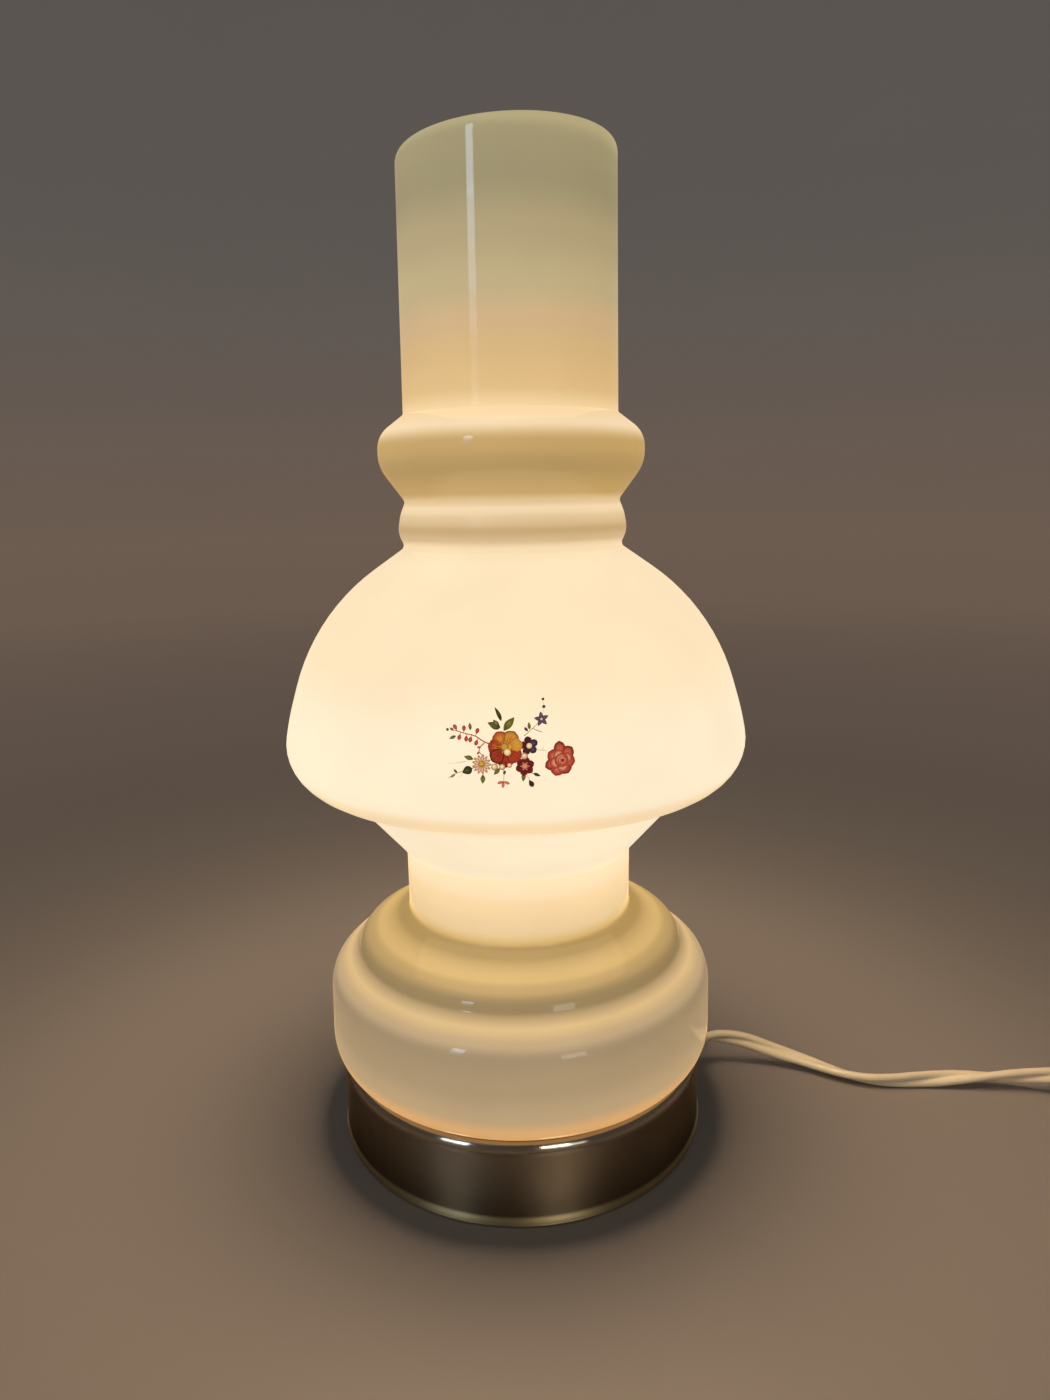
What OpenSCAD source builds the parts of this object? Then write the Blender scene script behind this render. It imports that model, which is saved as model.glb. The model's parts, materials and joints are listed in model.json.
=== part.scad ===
// Table lamp in the form of an old oil lamp: opal glass shade lifted onto an
// opal glass body, on a plated metal foot, with a twin flex, a cord switch and
// a flat two-pin plug. Millimetres, +Z up, origin on the table under the axis.

/* [Foot] */
// Outer diameter of the plated metal foot
base_d = 120; // [119:0.5:121]
// Height of the foot to the top of its rolled edge
base_h = 26.8; // [26.4:0.1:27]
// Thickness of the spun sheet
sheet_t = 1.2; // [1:0.1:1.4]
// Thickness of the felt ring that the lamp stands on
felt_t = 2.2; // [2:0.1:2.2]

/* [Lower glass] */
// Wall thickness of both glasses
glass_t = 3; // [2.8:0.1:3.1]
// Radius to which the wide bulge is drawn, at its foot
bulge_r = 63.2; // [63:0.1:63.6]
// Radius of the fold where the bulge turns under
bulge_fold = 11; // [10.5:0.1:11.4]
// Outer radius of the cylindrical neck
neck_r = 36.3; // [36:0.1:36.8]
// Height at which the neck opens into the cup
cup_z = 96.5; // [96:0.1:97]

/* [Shade] */
// Height of the shade's underside when it rests on the cup
seat_z = 119.7; // [119.6:0.1:120.2]
// Radius at which the side line of the dome meets its underside
dome_r = 74.9; // [74:0.1:75.6]
// Radius of the roll at the bottom of the dome
dome_roll = 13.8; // [13:0.1:14.4]
// Outer radius of the chimney at its rim
chimney_r = 31.4; // [31:0.1:32]
// Height of the lamp at the middle of the rim
lamp_h = 301.3; // [296:0.1:306]
// Slant of the hand-cut rim, in degrees
rim_slant = 2.4; // [0:0.1:3]

/* [Lampholder and bulb] */
// Outer diameter of the lamp tube
tube_d = 10; // [9.8:0.1:10]
// Height at which the lampholder starts
holder_z = 54; // [53:0.5:56]
// Outer diameter of the lampholder
holder_d = 28; // [27.6:0.1:29]
// Diameter of the round bulb
bulb_d = 45; // [44:0.5:46]

/* [Cord] */
// Width of the flat twin flex
cord_w = 5.4; // [5.2:0.1:5.4]
// Direction in which the cord leaves the foot, in degrees from +X
exit_a = 16; // [15:0.5:17]
// Height at which the cord leaves the foot
exit_z = 10; // [9.8:0.1:10.2]
// Length of the strain relief outside the foot
relief_l = 7.6; // [7.2:0.1:8]

/* [Cord switch] */
// Length of the switch housing
switch_l = 58; // [57:0.5:60]
// Width of the switch housing
switch_w = 22; // [22:0.5:24]
// Height of the switch housing
switch_h = 17; // [16.8:0.1:17.4]

/* [Plug] */
// Width of the plug's body
plug_w = 35; // [34:0.5:35.5]
// Thickness of the plug's body
plug_t = 13.7; // [13.5:0.1:13.9]
// Distance between the pins
pin_gap = 18.6; // [18:0.1:19]

/* [Hidden] */
$fn = 64;

base_r = base_d / 2;
tube_r = tube_d / 2;
run = 0.05;              // radial clearance of a running fit
deck_z = 23;             // top of the recessed deck of the foot
foot_z = 25.3;           // underside of the lower glass
foot_ri = 41;            // radius of the hole in the foot of the lower glass

// ---- profile tools -------------------------------------------------------
function unit2(v) = v / norm(v);
// Arc that rounds the corner p between p0 and p1 with radius r, in n steps
function corner(p0, p, p1, r, n) =
  let (a = unit2(p0 - p), b = unit2(p1 - p), h = acos(max(-1, min(1, a * b))) / 2,
       c = p + unit2(a + b) * r / sin(h), s = p + a * r / tan(h), e = p + b * r / tan(h),
       a0 = atan2(s.y - c.y, s.x - c.x), a1 = atan2(e.y - c.y, e.x - c.x),
       d = a1 - a0 - 360 * round((a1 - a0) / 360))
  [for (k = [0:n]) c + r * [cos(a0 + d * k / n), sin(a0 + d * k / n)]];
// Open line through corners [x, y, rounding radius]
function rounded(v, n) = [for (i = [0:len(v) - 1])
  let (p = [v[i].x, v[i].y])
  each (i == 0 || i == len(v) - 1 || v[i].z == 0 ? [p]
        : corner([v[i - 1].x, v[i - 1].y], p, [v[i + 1].x, v[i + 1].y], v[i].z, n))];
// The same line moved by t to its left
function moved(q, t) = let (m = len(q) - 1) [for (i = [0:m])
  let (d = unit2(q[min(i + 1, m)] - q[max(i - 1, 0)])) q[i] + t * [-d.y, d.x]];
function back(q) = [for (i = [len(q) - 1:-1:0]) q[i]];
// Wall of thickness t on the left of line q
function wall(q, t) = concat(q, back(moved(q, t)));

// Outer line of the lower glass: foot and bulge, then collar, neck and cup. It
// is one glass, kept as two nodes that meet face to face above the bulge.
cup_slope = 0.848;
cup_end = 117.4;
glass_cut = [52.85, 64.63];
low_line = [[foot_ri, foot_z, 0], [bulge_r, foot_z, bulge_fold], [bulge_r - 0.7, 56.2, 9.4],
  [53.2, 63.6, 2.2], [glass_cut.x, glass_cut.y, 0]];
neck_line = [[glass_cut.x, glass_cut.y, 0], [51.9, 67.4, 6], [neck_r, 75.3, 2.8], [neck_r, cup_z, 3],
  [neck_r + (cup_end - cup_z) * cup_slope, cup_end, 0]];
// Outer line of the shade: collar, underside, dome, bead, bulge, chimney
shade_line = [[45.5, seat_z - 5.5, 0], [45.5, seat_z, 2.5], [dome_r, seat_z, dome_roll],
  [70.2, 142.5, 80], [61.2, 172.6, 64], [32.8, 192.2, 1.8], [35.1, 196.2, 7.5], [34, 201.8, 8],
  [32.5, 205.6, 1.5], [40, 215.8, 11], [40, 224.6, 8], [33, 231.7, 1.2],
  [chimney_r, lamp_h, 0], [chimney_r - 0.06, lamp_h + 4, 0]];

// ---- swept tube ----------------------------------------------------------
function unit3(v) = v / norm(v);
function way(p, i) = unit3(p[min(i + 1, len(p) - 1)] - p[max(i - 1, 0)]);
// Closed tube of radius r along points p, side is a direction never along p
module swept(p, r, side = [0, 0, 1], n = 8) {
  m = len(p);
  pts = [for (i = [0:m - 1]) let (t = way(p, i), s = unit3(cross(side, t)), u = cross(t, s))
    for (k = [0:n - 1]) p[i] + r * (cos(360 * k / n) * s + sin(360 * k / n) * u)];
  polyhedron(pts, concat([[for (k = [n - 1:-1:0]) k]],
    [for (i = [0:m - 2]) for (k = [0:n - 1])
      [i * n + k, i * n + (k + 1) % n, (i + 1) * n + (k + 1) % n, (i + 1) * n + k]],
    [[for (k = [0:n - 1]) (m - 1) * n + k]]));
}
// Rounded rectangle, sides w and h, corner radius r
module rounded_rect(w, h, r) {
  square([w - 2 * r, h], center = true);
  square([w, h - 2 * r], center = true);
  for (x = [-1, 1], y = [-1, 1]) translate([x * (w / 2 - r), y * (h / 2 - r)]) circle(r);
}
module pipe(ro, ri, z0, z1) translate([0, 0, z0]) difference() {
  cylinder(r = ro, h = z1 - z0);
  translate([0, 0, -1]) cylinder(r = ri, h = z1 - z0 + 2);
}
module turned(q) rotate_extrude($fn = 96) polygon(q);

// ---- routes, chosen by hand ----------------------------------------------
exit_dir = [cos(exit_a), sin(exit_a), 0];
function out_at(r, z) = r * exit_dir + [0, 0, z];
tip_r = base_r + relief_l + 2.4;
switch_x = 220;
switch_y = -3;
sw_z = switch_h / 2;
lead_end = switch_x - 9;
return_start = switch_x + switch_l + 9;
lead_route = [out_at(tip_r - 1, exit_z), [72.2, 20.3, 10], [77.2, 20.1, 9.5], [82.5, 19.2, 8.7], [89, 17.7, 6.9], [96, 16, 5], [103, 13.4, 3.7],
  [110, 9.4, 2.9], [117, 5.2, 2.7], [124, 2.6, 2.7], [132, 1.7, 2.7], [144, 1.9, 2.8], [157, 1.5, 3.6], [170, -0.4, 4.9], [180, -2.3, 6],
  [188, -3.4, 6.9], [196, -3.7, 7.7], [203, -3.4, 8.3], [208, -3.1, 8.5], [213, -3, sw_z]];
inner_route = [out_at(67, exit_z), out_at(57, exit_z), out_at(44, 9.8), out_at(30, 9.2), out_at(18, 9.6), out_at(10, 11),
  out_at(5.2, 13.4), out_at(2, 17), out_at(0.5, 22), [0, 0, 28], [0, 0, 46], [0, 0, 66]];
coil_x = 318;
coil_y = -43;
coil_lift = 0.8;
coil_ri = 21;
coil_ro = 43;
coil_top = 11.1;
return_route = [[284, -3, sw_z], [289, -3, sw_z], [294, -3, 8], [300, -3, 6.5], [306, -3, 4.9], [312, -3, 3.8], [318, -3, 3.5]];
plug_x = 327;
plug_y = -66;
plug_turn = 12;
plug_rear = -12;
plug_front = -48;
lead_lift = 18.2;
plug_route = [[330, -10.6, 12.9], [340, -16.8, 12.9], [346.8, -26.4, 13], [349.8, -36, 13.3], [350, -43, 13.8], [349, -50.5, 15],
  [345.4, -57.2, 16.4], [340, -61.8, 17.6], [333.6, -64.5, 18.1], [327, -66, 18.2], [322.1, -67.04, 18.2]];

// ---- foot ----------------------------------------------------------------
ring_line = concat(
  [[base_r - 0.6, 0.6], [base_r + 0.2, 0.6], [base_r + 0.6, 1.2], [base_r + 0.6, 2.4], [base_r + 0.2, 3.1], [base_r, 3.4]],
  [for (a = [0:15:180]) [base_r - 1.4 + 1.4 * cos(a), base_h - 1.4 + 1.4 * sin(a)]],
  [[base_r - 2.8, deck_z], [tube_r + 0.3, deck_z], [tube_r + 0.3, deck_z - sheet_t], [base_r - sheet_t, deck_z - sheet_t],
   [base_r - sheet_t, 3.4], [base_r - 0.6, 3.4]]);
module base_ring() color([0.62, 0.58, 0.52]) difference() {
  turned(ring_line);
  translate([0, 0, exit_z]) rotate([0, 0, exit_a]) rotate([0, 90, 0]) translate([0, 0, base_r - 6]) cylinder(r = 4.5, h = 10);
}
module base_plate() color([0.5, 0.5, 0.5]) turned([[tube_r + run, 5.4], [17, 5.4], [40, felt_t], [base_r - 0.8, felt_t],
  [base_r - 0.8, 3.4], [40.3, 3.4], [17.3, 6.6], [tube_r + run, 6.6]]);
module felt_ring() color([0.16, 0.24, 0.16]) pipe(57, 41, 0, felt_t);
module threaded_tube() color([0.72, 0.68, 0.55]) difference() {
  pipe(tube_r, 4, 2.4, holder_z + 8);
  rotate([0, 0, exit_a]) translate([0, -3, 10]) cube([10, 6, 9]);
}
module hex_nut(z) translate([0, 0, z]) difference() {
  cylinder(r = 7 / cos(30), h = 3, $fn = 6);
  translate([0, 0, -1]) cylinder(r = tube_r + 0.02, h = 5);
}
module tube_nuts() color([0.7, 0.7, 0.7]) { hex_nut(2.4); hex_nut(32.8); hex_nut(holder_z - 3); }
module tube_washer() color([0.75, 0.75, 0.75]) pipe(10, tube_r + 0.25, 31.8, 32.8);

// ---- lower glass and its clamp -------------------------------------------
module glass_gasket() color([0.2, 0.2, 0.2]) pipe(51.5, 43, deck_z, foot_z);
module lower_glass() color([0.97, 0.94, 0.85]) turned(wall(rounded(low_line, 6), glass_t));
module neck_glass() color([0.97, 0.94, 0.85]) turned(wall(rounded(neck_line, 6), glass_t));
module clamp_bar() color([0.68, 0.68, 0.66]) translate([0, 0, 29.8]) rotate([0, 0, 100]) difference() {
  intersection() {
    translate([-60, -7, 0]) cube([120, 14, 2]);
    translate([0, 0, -1]) cylinder(r = 48.5, h = 4);
  }
  translate([0, 0, -1]) cylinder(r = tube_r + 0.2, h = 4);
}
module clamp_pads() color([0.12, 0.12, 0.12]) rotate([0, 0, 100]) for (s = [0, 180]) rotate([0, 0, s])
  translate([42, -6.5, foot_z + glass_t]) cube([6, 13, 29.8 - foot_z - glass_t]);

// ---- cord entry ----------------------------------------------------------
module cord_bushing() color([0.93, 0.88, 0.74]) translate([0, 0, exit_z]) rotate([0, 0, exit_a]) rotate([0, 90, 0]) difference() {
  rotate_extrude($fn = 48) polygon([[0, base_r - 13], [3.2, base_r - 13], [4.2, base_r - sheet_t - 2.4], [6.3, base_r - sheet_t - 2.4], [6.3, base_r - sheet_t - 0.5],
    [4.4, base_r - sheet_t - 0.5], [4.4, base_r + 0.1], [6.2, base_r + 0.1], [6, base_r + 1.6], [4.6, base_r + 2.4],
    [3.3, tip_r - 0.5], [3, tip_r], [0, tip_r]]);
  cylinder(r = 1.8, h = 100);
}
module inner_flex() color([0.93, 0.88, 0.74]) swept(inner_route, 1.5, [-sin(exit_a), cos(exit_a), 0]);

// ---- lampholder ----------------------------------------------------------
hr = holder_d / 2;
hz = holder_z;
module holder_cap() color([0.1, 0.09, 0.08]) turned([[tube_r + 0.02, hz], [8.5, hz], [9, hz + 0.6], [9, hz + 4], [hr - 1.2, hz + 8],
  [hr - 0.6, hz + 9], [hr - 0.6, hz + 18], [11.3, hz + 18], [11.3, hz + 10], [10.4, hz + 9.2], [tube_r + 0.02, hz + 9.2]]);
module holder_insert() color([0.9, 0.88, 0.82]) difference() {
  turned([[0, hz + 14], [11.1, hz + 14], [11.1, hz + 23], [9.4, hz + 23], [9.4, hz + 40], [7.75, hz + 40], [7.75, hz + 23], [0, hz + 23]]);
  for (s = [-1, 1]) translate([s * 7, 0, hz + 13]) cylinder(r = 1.55, h = 8);
}
module holder_body() color([0.1, 0.09, 0.08]) turned([[11.3, hz + 18.1], [hr - 0.4, hz + 18.1], [hr, hz + 19], [hr, hz + 40], [hr - 0.5, hz + 42.6],
  [hr - 1.2, hz + 43], [9.6, hz + 43], [9.6, hz + 24.6], [11.3, hz + 23.2]]);
module screw_shell() color([0.8, 0.66, 0.34]) turned([[7.2, hz + 24.5], [7.7, hz + 24.5], [7.7, hz + 41], [8.8, hz + 41], [8.8, hz + 41.5], [7.2, hz + 41.5]]);
module centre_contact() color([0.8, 0.66, 0.34]) {
  translate([-5, -2, hz + 23.05]) cube([10, 4, 0.6]);
  translate([-2, -2, hz + 23.4]) cube([4, 4, 2.1]);
}
module terminal_screws() color([0.75, 0.72, 0.6]) for (s = [-1, 1]) translate([s * 7, 0, hz + 11.8]) {
  cylinder(r = 2.6, h = 2.1);
  translate([0, 0, 2]) cylinder(r = 1.5, h = 5);
}

// ---- bulb ----------------------------------------------------------------
bz = hz + 25.8;          // tip of the bulb's contact
bulb_r = bulb_d / 2;
bulb_c = bz + 78 - bulb_r;
module bulb_contact() color([0.75, 0.75, 0.74]) turned([[0, bz], [1.6, bz], [2.4, bz + 0.5], [2.4, bz + 1], [0, bz + 1]]);
module bulb_insulator() color([0.08, 0.07, 0.07]) turned([[0, bz + 1.02], [3, bz + 1.02], [5.6, bz + 3.6], [5.6, bz + 4.4], [0, bz + 4.4]]);
module bulb_cap() color([0.82, 0.8, 0.76]) turned([[0, bz + 4.42], [5.6, bz + 4.42], [6.6, bz + 5.4], [7.12, bz + 6.6], [7.12, bz + 16.5], [6.6, bz + 17.4],
  [6.8, bz + 18.2], [7.4, bz + 23.5], [6.9, bz + 23.5], [6.3, bz + 18.2], [6.1, bz + 6.6], [0, bz + 6.6]]);
bulb_line = concat([[5.9, bz + 17.6], [6.75, bz + 23.6], [7.6, bz + 24.6], [8.4, bz + 27.6], [10.4, bz + 32.5]],
  [for (a = [-56:8:88]) [bulb_r * cos(a), bulb_c + bulb_r * sin(a)]], [[0, bulb_c + bulb_r]]);
module bulb_glass() color([0.98, 0.95, 0.86, 0.6]) turned(concat([[4.9, bz + 17.6]], bulb_line, [[0, bulb_c + bulb_r - 0.9]],
  [for (a = [88:-8:-56]) [(bulb_r - 0.9) * cos(a), bulb_c + (bulb_r - 0.9) * sin(a)]], [[9.4, bz + 32.7], [7.4, bz + 27.8], [6.6, bz + 25], [5.75, bz + 23.8]]));
module bulb_stem() color([0.85, 0.88, 0.86]) turned([[0, bz + 19], [4.6, bz + 19], [4.2, bz + 20.5], [2.2, bz + 24], [1.4, bz + 40], [1.8, bz + 41], [1.4, bz + 42], [0, bz + 42.4]]);
fil_z = bz + 52;
module bulb_wires() color([0.6, 0.6, 0.6]) for (s = [0, 180]) rotate([0, 0, s])
  swept([[2.6, 0, bz + 24.2], [3.4, 0, bz + 30], [6, 0, bz + 42], [9.4, 0, fil_z - 0.6]], 0.35, [0, 1, 0]);
module bulb_filament() color([0.95, 0.8, 0.5]) swept([for (a = [0:15:180]) [9.4 * cos(a), 6 * sin(a), fil_z + 1.4 * sin(a)]], 0.4);

// ---- shade ---------------------------------------------------------------
module shade() color([0.97, 0.94, 0.85]) difference() {
  turned(wall(rounded(shade_line, 6), glass_t));
  translate([0, 0, lamp_h]) rotate([0, -rim_slant, 0]) translate([-60, -60, 0]) cube([120, 120, 40]);
}

// ---- cord ----------------------------------------------------------------
cr = cord_w / 2;
flex_colour = [0.93, 0.88, 0.74];
module cord_lead() color(flex_colour) difference() {
  swept(lead_route, cr);
  rotate([0, 0, exit_a]) translate([tip_r - 19.9, -20, 0]) cube([20, 40, 30]);
  translate([lead_end - 0.05, -20, -1]) cube([20, 40, 30]);
}
module cord_return() color(flex_colour) difference() {
  swept(return_route, cr);
  translate([return_start - 19.95, -20, -1]) cube([20, 40, 30]);
}
module cord_coil() color(flex_colour) translate([coil_x, coil_y, 0]) turned([[coil_ri + 2, coil_lift], [coil_ro - 2, coil_lift], [coil_ro, coil_lift + 2],
  [coil_ro - 0.4, 6], [coil_ro - 3.4, coil_top], [coil_ri + 3.4, coil_top], [coil_ri + 0.4, 6], [coil_ri, coil_lift + 2]]);
module coil_tie() color([0.15, 0.15, 0.15]) translate([coil_x - 32, coil_y, 6.05]) rotate([90, 0, 0]) linear_extrude(8, center = true) difference() {
  square([24.8, 12.1], center = true);
  square([23.2, 10.5], center = true);
}
module plug_lead() color(flex_colour) difference() {
  swept(plug_route, cr);
  at_plug() translate([-30, -20, -20]) cube([30.05, 40, 40]);
}

// ---- cord switch ---------------------------------------------------------
sw_cx = switch_x + switch_l / 2;
pivot_z = 13;
module at_switch() translate([sw_cx, switch_y, 0]) children();
module switch_lower() color([0.93, 0.9, 0.8]) at_switch() difference() {
  union() {
    linear_extrude(1.2) rounded_rect(switch_l - 1.6, switch_w - 1.6, 5.2);
    translate([0, 0, 1.2]) linear_extrude(switch_h / 2 - 1.3) rounded_rect(switch_l, switch_w, 6);
  }
  translate([0, 0, 2.4]) linear_extrude(20) rounded_rect(switch_l - 18, switch_w - 5, 3);
  for (s = [-1, 1]) {
    translate([s * (switch_l / 2 - 4.5), 6, -1]) cylinder(r = 1.55, h = 20);
    translate([s * (switch_l / 2 - 4.5), 6, -1]) cylinder(r = 2.8, h = 3.4);
    translate([s * (switch_l / 2 - 12), 0, sw_z]) rotate([0, s * 90, 0]) cylinder(r = 3.05, h = 14);
  }
}
module switch_upper() color([0.93, 0.9, 0.8]) at_switch() difference() {
  union() {
    translate([0, 0, switch_h / 2]) linear_extrude(switch_h / 2 - 1.4) rounded_rect(switch_l, switch_w, 6);
    translate([0, 0, switch_h - 1.5]) linear_extrude(1.5) rounded_rect(switch_l - 2, switch_w - 2, 5);
  }
  translate([0, 0, switch_h / 2 - 1]) linear_extrude(3.7) rounded_rect(switch_l - 18, switch_w - 5, 3);
  translate([-12, -5.4, 0]) cube([24, 10.8, 30]);
  translate([0, 10, pivot_z]) rotate([90, 0, 0]) cylinder(r = 1.5 + run, h = 17.6);
  for (s = [-1, 1]) {
    translate([s * (switch_l / 2 - 4.5), 6, switch_h / 2 - 1]) cylinder(r = 1.5, h = 6);
    translate([s * (switch_l / 2 - 12), 0, sw_z]) rotate([0, s * 90, 0]) cylinder(r = 3.05, h = 14);
  }
}
module switch_rocker() color([0.9, 0.86, 0.74]) at_switch() translate([0, 0, pivot_z]) rotate([0, 7, 0]) {
  rotate([90, 0, 0]) linear_extrude(10, center = true) polygon([[-10.6, 1.4], [-10.6, 3.6], [-8, 4.9], [-1, 4.3], [1, 4.3], [8, 4.9], [10.6, 3.6], [10.6, 1.4], [3, -2.6], [1.2, -5.2], [-1.2, -5.2], [-3, -2.6]]);
  translate([0, 7.4, 0]) rotate([90, 0, 0]) cylinder(r = 1.5, h = 14.8);
}
module switch_contacts() color([0.8, 0.66, 0.34]) at_switch() for (s = [-1, 1]) {
  translate([s * 13 - 5.5, -3, 2.45]) cube([11, 6, 0.8]);
  translate([s * 8.5 - 0.5, -3, 2.45]) cube([1, 6, 4]);
}
module switch_screws() color([0.7, 0.7, 0.68]) at_switch() for (s = [-1, 1]) translate([s * (switch_l / 2 - 4.5), 6, 0.5]) {
  cylinder(r = 2.6, h = 1.8);
  translate([0, 0, 1.7]) cylinder(r = 1.4, h = 10);
}
module switch_grommets() color([0.93, 0.9, 0.8]) at_switch() for (s = [-1, 1]) translate([s * (switch_l / 2 - 10), 0, sw_z]) rotate([0, s * 90, 0])
  rotate_extrude($fn = 48) polygon([[0, 0], [3, 0], [3, 10.1], [4.4, 10.1], [4.2, 11.4], [3.2, 19], [0, 19]]);

// ---- plug ----------------------------------------------------------------
module at_plug() translate([plug_x, plug_y, lead_lift]) rotate([0, 0, plug_turn]) children();
module plug_body() color([0.93, 0.9, 0.8]) at_plug() {
  translate([0, 0, -plug_t / 2]) linear_extrude(plug_t) polygon([[plug_front, -plug_w / 2 + 3], [plug_front + 3, -plug_w / 2], [plug_front + 14, -plug_w / 2],
    [plug_rear - 3, -8], [plug_rear, -6], [plug_rear, 6], [plug_rear - 3, 8], [plug_front + 14, plug_w / 2], [plug_front + 3, plug_w / 2], [plug_front, plug_w / 2 - 3]]);
  translate([plug_rear - 0.5, 0, 0]) rotate([0, 90, 0]) cylinder(r1 = 5, r2 = 3.2, h = 12.5);
}
module plug_pins() color([0.8, 0.78, 0.7]) at_plug() for (s = [-1, 1]) translate([plug_front, s * pin_gap / 2, 0]) rotate([0, -90, 0])
  rotate_extrude($fn = 48) polygon([[0, 0], [2, 0], [2, 17.6], [1.5, 18.6], [0.8, 19], [0, 19]]);

base_ring();
base_plate();
felt_ring();
threaded_tube();
tube_nuts();
tube_washer();
glass_gasket();
lower_glass();
neck_glass();
clamp_bar();
clamp_pads();
cord_bushing();
inner_flex();
holder_cap();
holder_insert();
holder_body();
screw_shell();
centre_contact();
terminal_screws();
bulb_contact();
bulb_insulator();
bulb_cap();
bulb_glass();
bulb_stem();
bulb_wires();
bulb_filament();
shade();
cord_lead();
switch_lower();
switch_upper();
switch_rocker();
switch_contacts();
switch_screws();
switch_grommets();
cord_return();
cord_coil();
coil_tie();
plug_lead();
plug_body();
plug_pins();
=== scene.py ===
import bpy, bmesh, json, math
from mathutils import Matrix, Vector, noise


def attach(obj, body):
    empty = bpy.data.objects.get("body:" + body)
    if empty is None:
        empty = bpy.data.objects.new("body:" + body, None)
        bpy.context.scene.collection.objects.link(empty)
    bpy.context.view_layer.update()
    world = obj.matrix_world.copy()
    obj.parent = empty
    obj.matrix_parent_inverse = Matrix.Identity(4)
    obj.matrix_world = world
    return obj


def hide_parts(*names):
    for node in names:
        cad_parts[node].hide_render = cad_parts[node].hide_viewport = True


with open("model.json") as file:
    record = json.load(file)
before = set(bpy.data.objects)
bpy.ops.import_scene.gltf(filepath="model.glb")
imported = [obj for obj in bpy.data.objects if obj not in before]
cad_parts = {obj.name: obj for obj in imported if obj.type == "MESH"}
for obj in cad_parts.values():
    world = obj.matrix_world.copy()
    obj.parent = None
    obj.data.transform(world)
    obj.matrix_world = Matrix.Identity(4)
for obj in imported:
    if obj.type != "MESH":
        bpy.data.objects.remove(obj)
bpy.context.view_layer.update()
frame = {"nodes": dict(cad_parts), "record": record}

NODES, MM = frame["nodes"], 0.001
scene = bpy.context.scene

# ---------------------------------------------------------------- camera
fwd = Vector((0.0098635, 0.97740537, -0.2111432))
rgt = Vector((0.99979255, -0.01340256, -0.01533687))
upv = Vector((0.0178202, 0.21094813, 0.97733481))
cam_data = bpy.data.cameras.new("camera")
cam_data.sensor_fit, cam_data.sensor_width, cam_data.lens = "AUTO", 36.0, 24.171
cam_data.clip_start, cam_data.clip_end = 0.01, 50
cam = bpy.data.objects.new("camera", cam_data)
scene.collection.objects.link(cam)
m = Matrix.Identity(4)
for i in range(3):
    m[i][0], m[i][1], m[i][2] = rgt[i], upv[i], -fwd[i]
m.translation = Vector((0.0, -0.293381, 0.206483))
cam.matrix_world = m
scene.camera = cam


# ---------------------------------------------------------------- helpers
def new_object(name, verts, faces, smooth=True):
    me = bpy.data.meshes.new(name)
    me.from_pydata([tuple(v) for v in verts], [], faces)
    me.update()
    if smooth:
        me.polygons.foreach_set("use_smooth", [True] * len(me.polygons))
    ob = bpy.data.objects.new(name, me)
    scene.collection.objects.link(ob)
    return ob


def rounded(v, n):
    """Open line through corners (x, y, radius), each corner rounded in n steps."""
    out = [Vector(v[0][:2])]
    for i in range(1, len(v) - 1):
        p0, p, p1, r = Vector(v[i - 1][:2]), Vector(v[i][:2]), Vector(v[i + 1][:2]), v[i][2]
        if r <= 0:
            out.append(p)
            continue
        a, b = (p0 - p).normalized(), (p1 - p).normalized()
        h = math.acos(max(-1, min(1, a.dot(b)))) / 2
        c = p + (a + b).normalized() * r / math.sin(h)
        s, e = p + a * r / math.tan(h), p + b * r / math.tan(h)
        a0, a1 = math.atan2(s.y - c.y, s.x - c.x), math.atan2(e.y - c.y, e.x - c.x)
        d = (a1 - a0 + math.pi) % (2 * math.pi) - math.pi
        out += [c + r * Vector((math.cos(a0 + d * k / n), math.sin(a0 + d * k / n))) for k in range(n + 1)]
    out.append(Vector(v[-1][:2]))
    return out


def spaced(q, step):
    """The same line with no stretch longer than step."""
    out = [q[0]]
    for p in q[1:]:
        k = max(1, math.ceil((p - out[-1]).length / step))
        a = out[-1]
        out += [a + (p - a) * i / k for i in range(1, k + 1)]
    return out


def moved(q, t):
    m_, out = len(q) - 1, []
    for i in range(len(q)):
        d = (q[min(i + 1, m_)] - q[max(i - 1, 0)]).normalized()
        out.append(q[i] + t * Vector((-d.y, d.x)))
    return out


def lathe(name, loop, seg, closed=True, shift=None):
    """Turned mesh in millimetres from a closed loop of (r, z)."""
    verts, faces, n = [], [], len(loop)
    for k in range(seg):
        a = 2 * math.pi * k / seg
        c, s = math.cos(a), math.sin(a)
        for r, z in loop:
            dz = shift(r * c, r * s, z) if shift else 0
            verts.append((r * c * MM, r * s * MM, (z + dz) * MM))
    for k in range(seg):
        k2 = (k + 1) % seg
        for i in range(n if closed else n - 1):
            j = (i + 1) % n
            faces.append((k * n + i, k2 * n + i, k2 * n + j, k * n + j))
    return new_object(name, verts, faces)


def lin(c):
    c = c / 255
    return c / 12.92 if c <= 0.04045 else ((c + 0.055) / 1.055) ** 2.4


def srgb(r, g, b):
    return (lin(r), lin(g), lin(b))


def ramp(stops, x):
    """Smooth value from given stops (x, values...)."""
    if x <= stops[0][0]:
        return stops[0][1:]
    for a, b in zip(stops, stops[1:]):
        if x <= b[0]:
            t = (x - a[0]) / (b[0] - a[0])
            t = t * t * (3 - 2 * t)
            return tuple(u + (v - u) * t for u, v in zip(a[1:], b[1:]))
    return stops[-1][1:]


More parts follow.
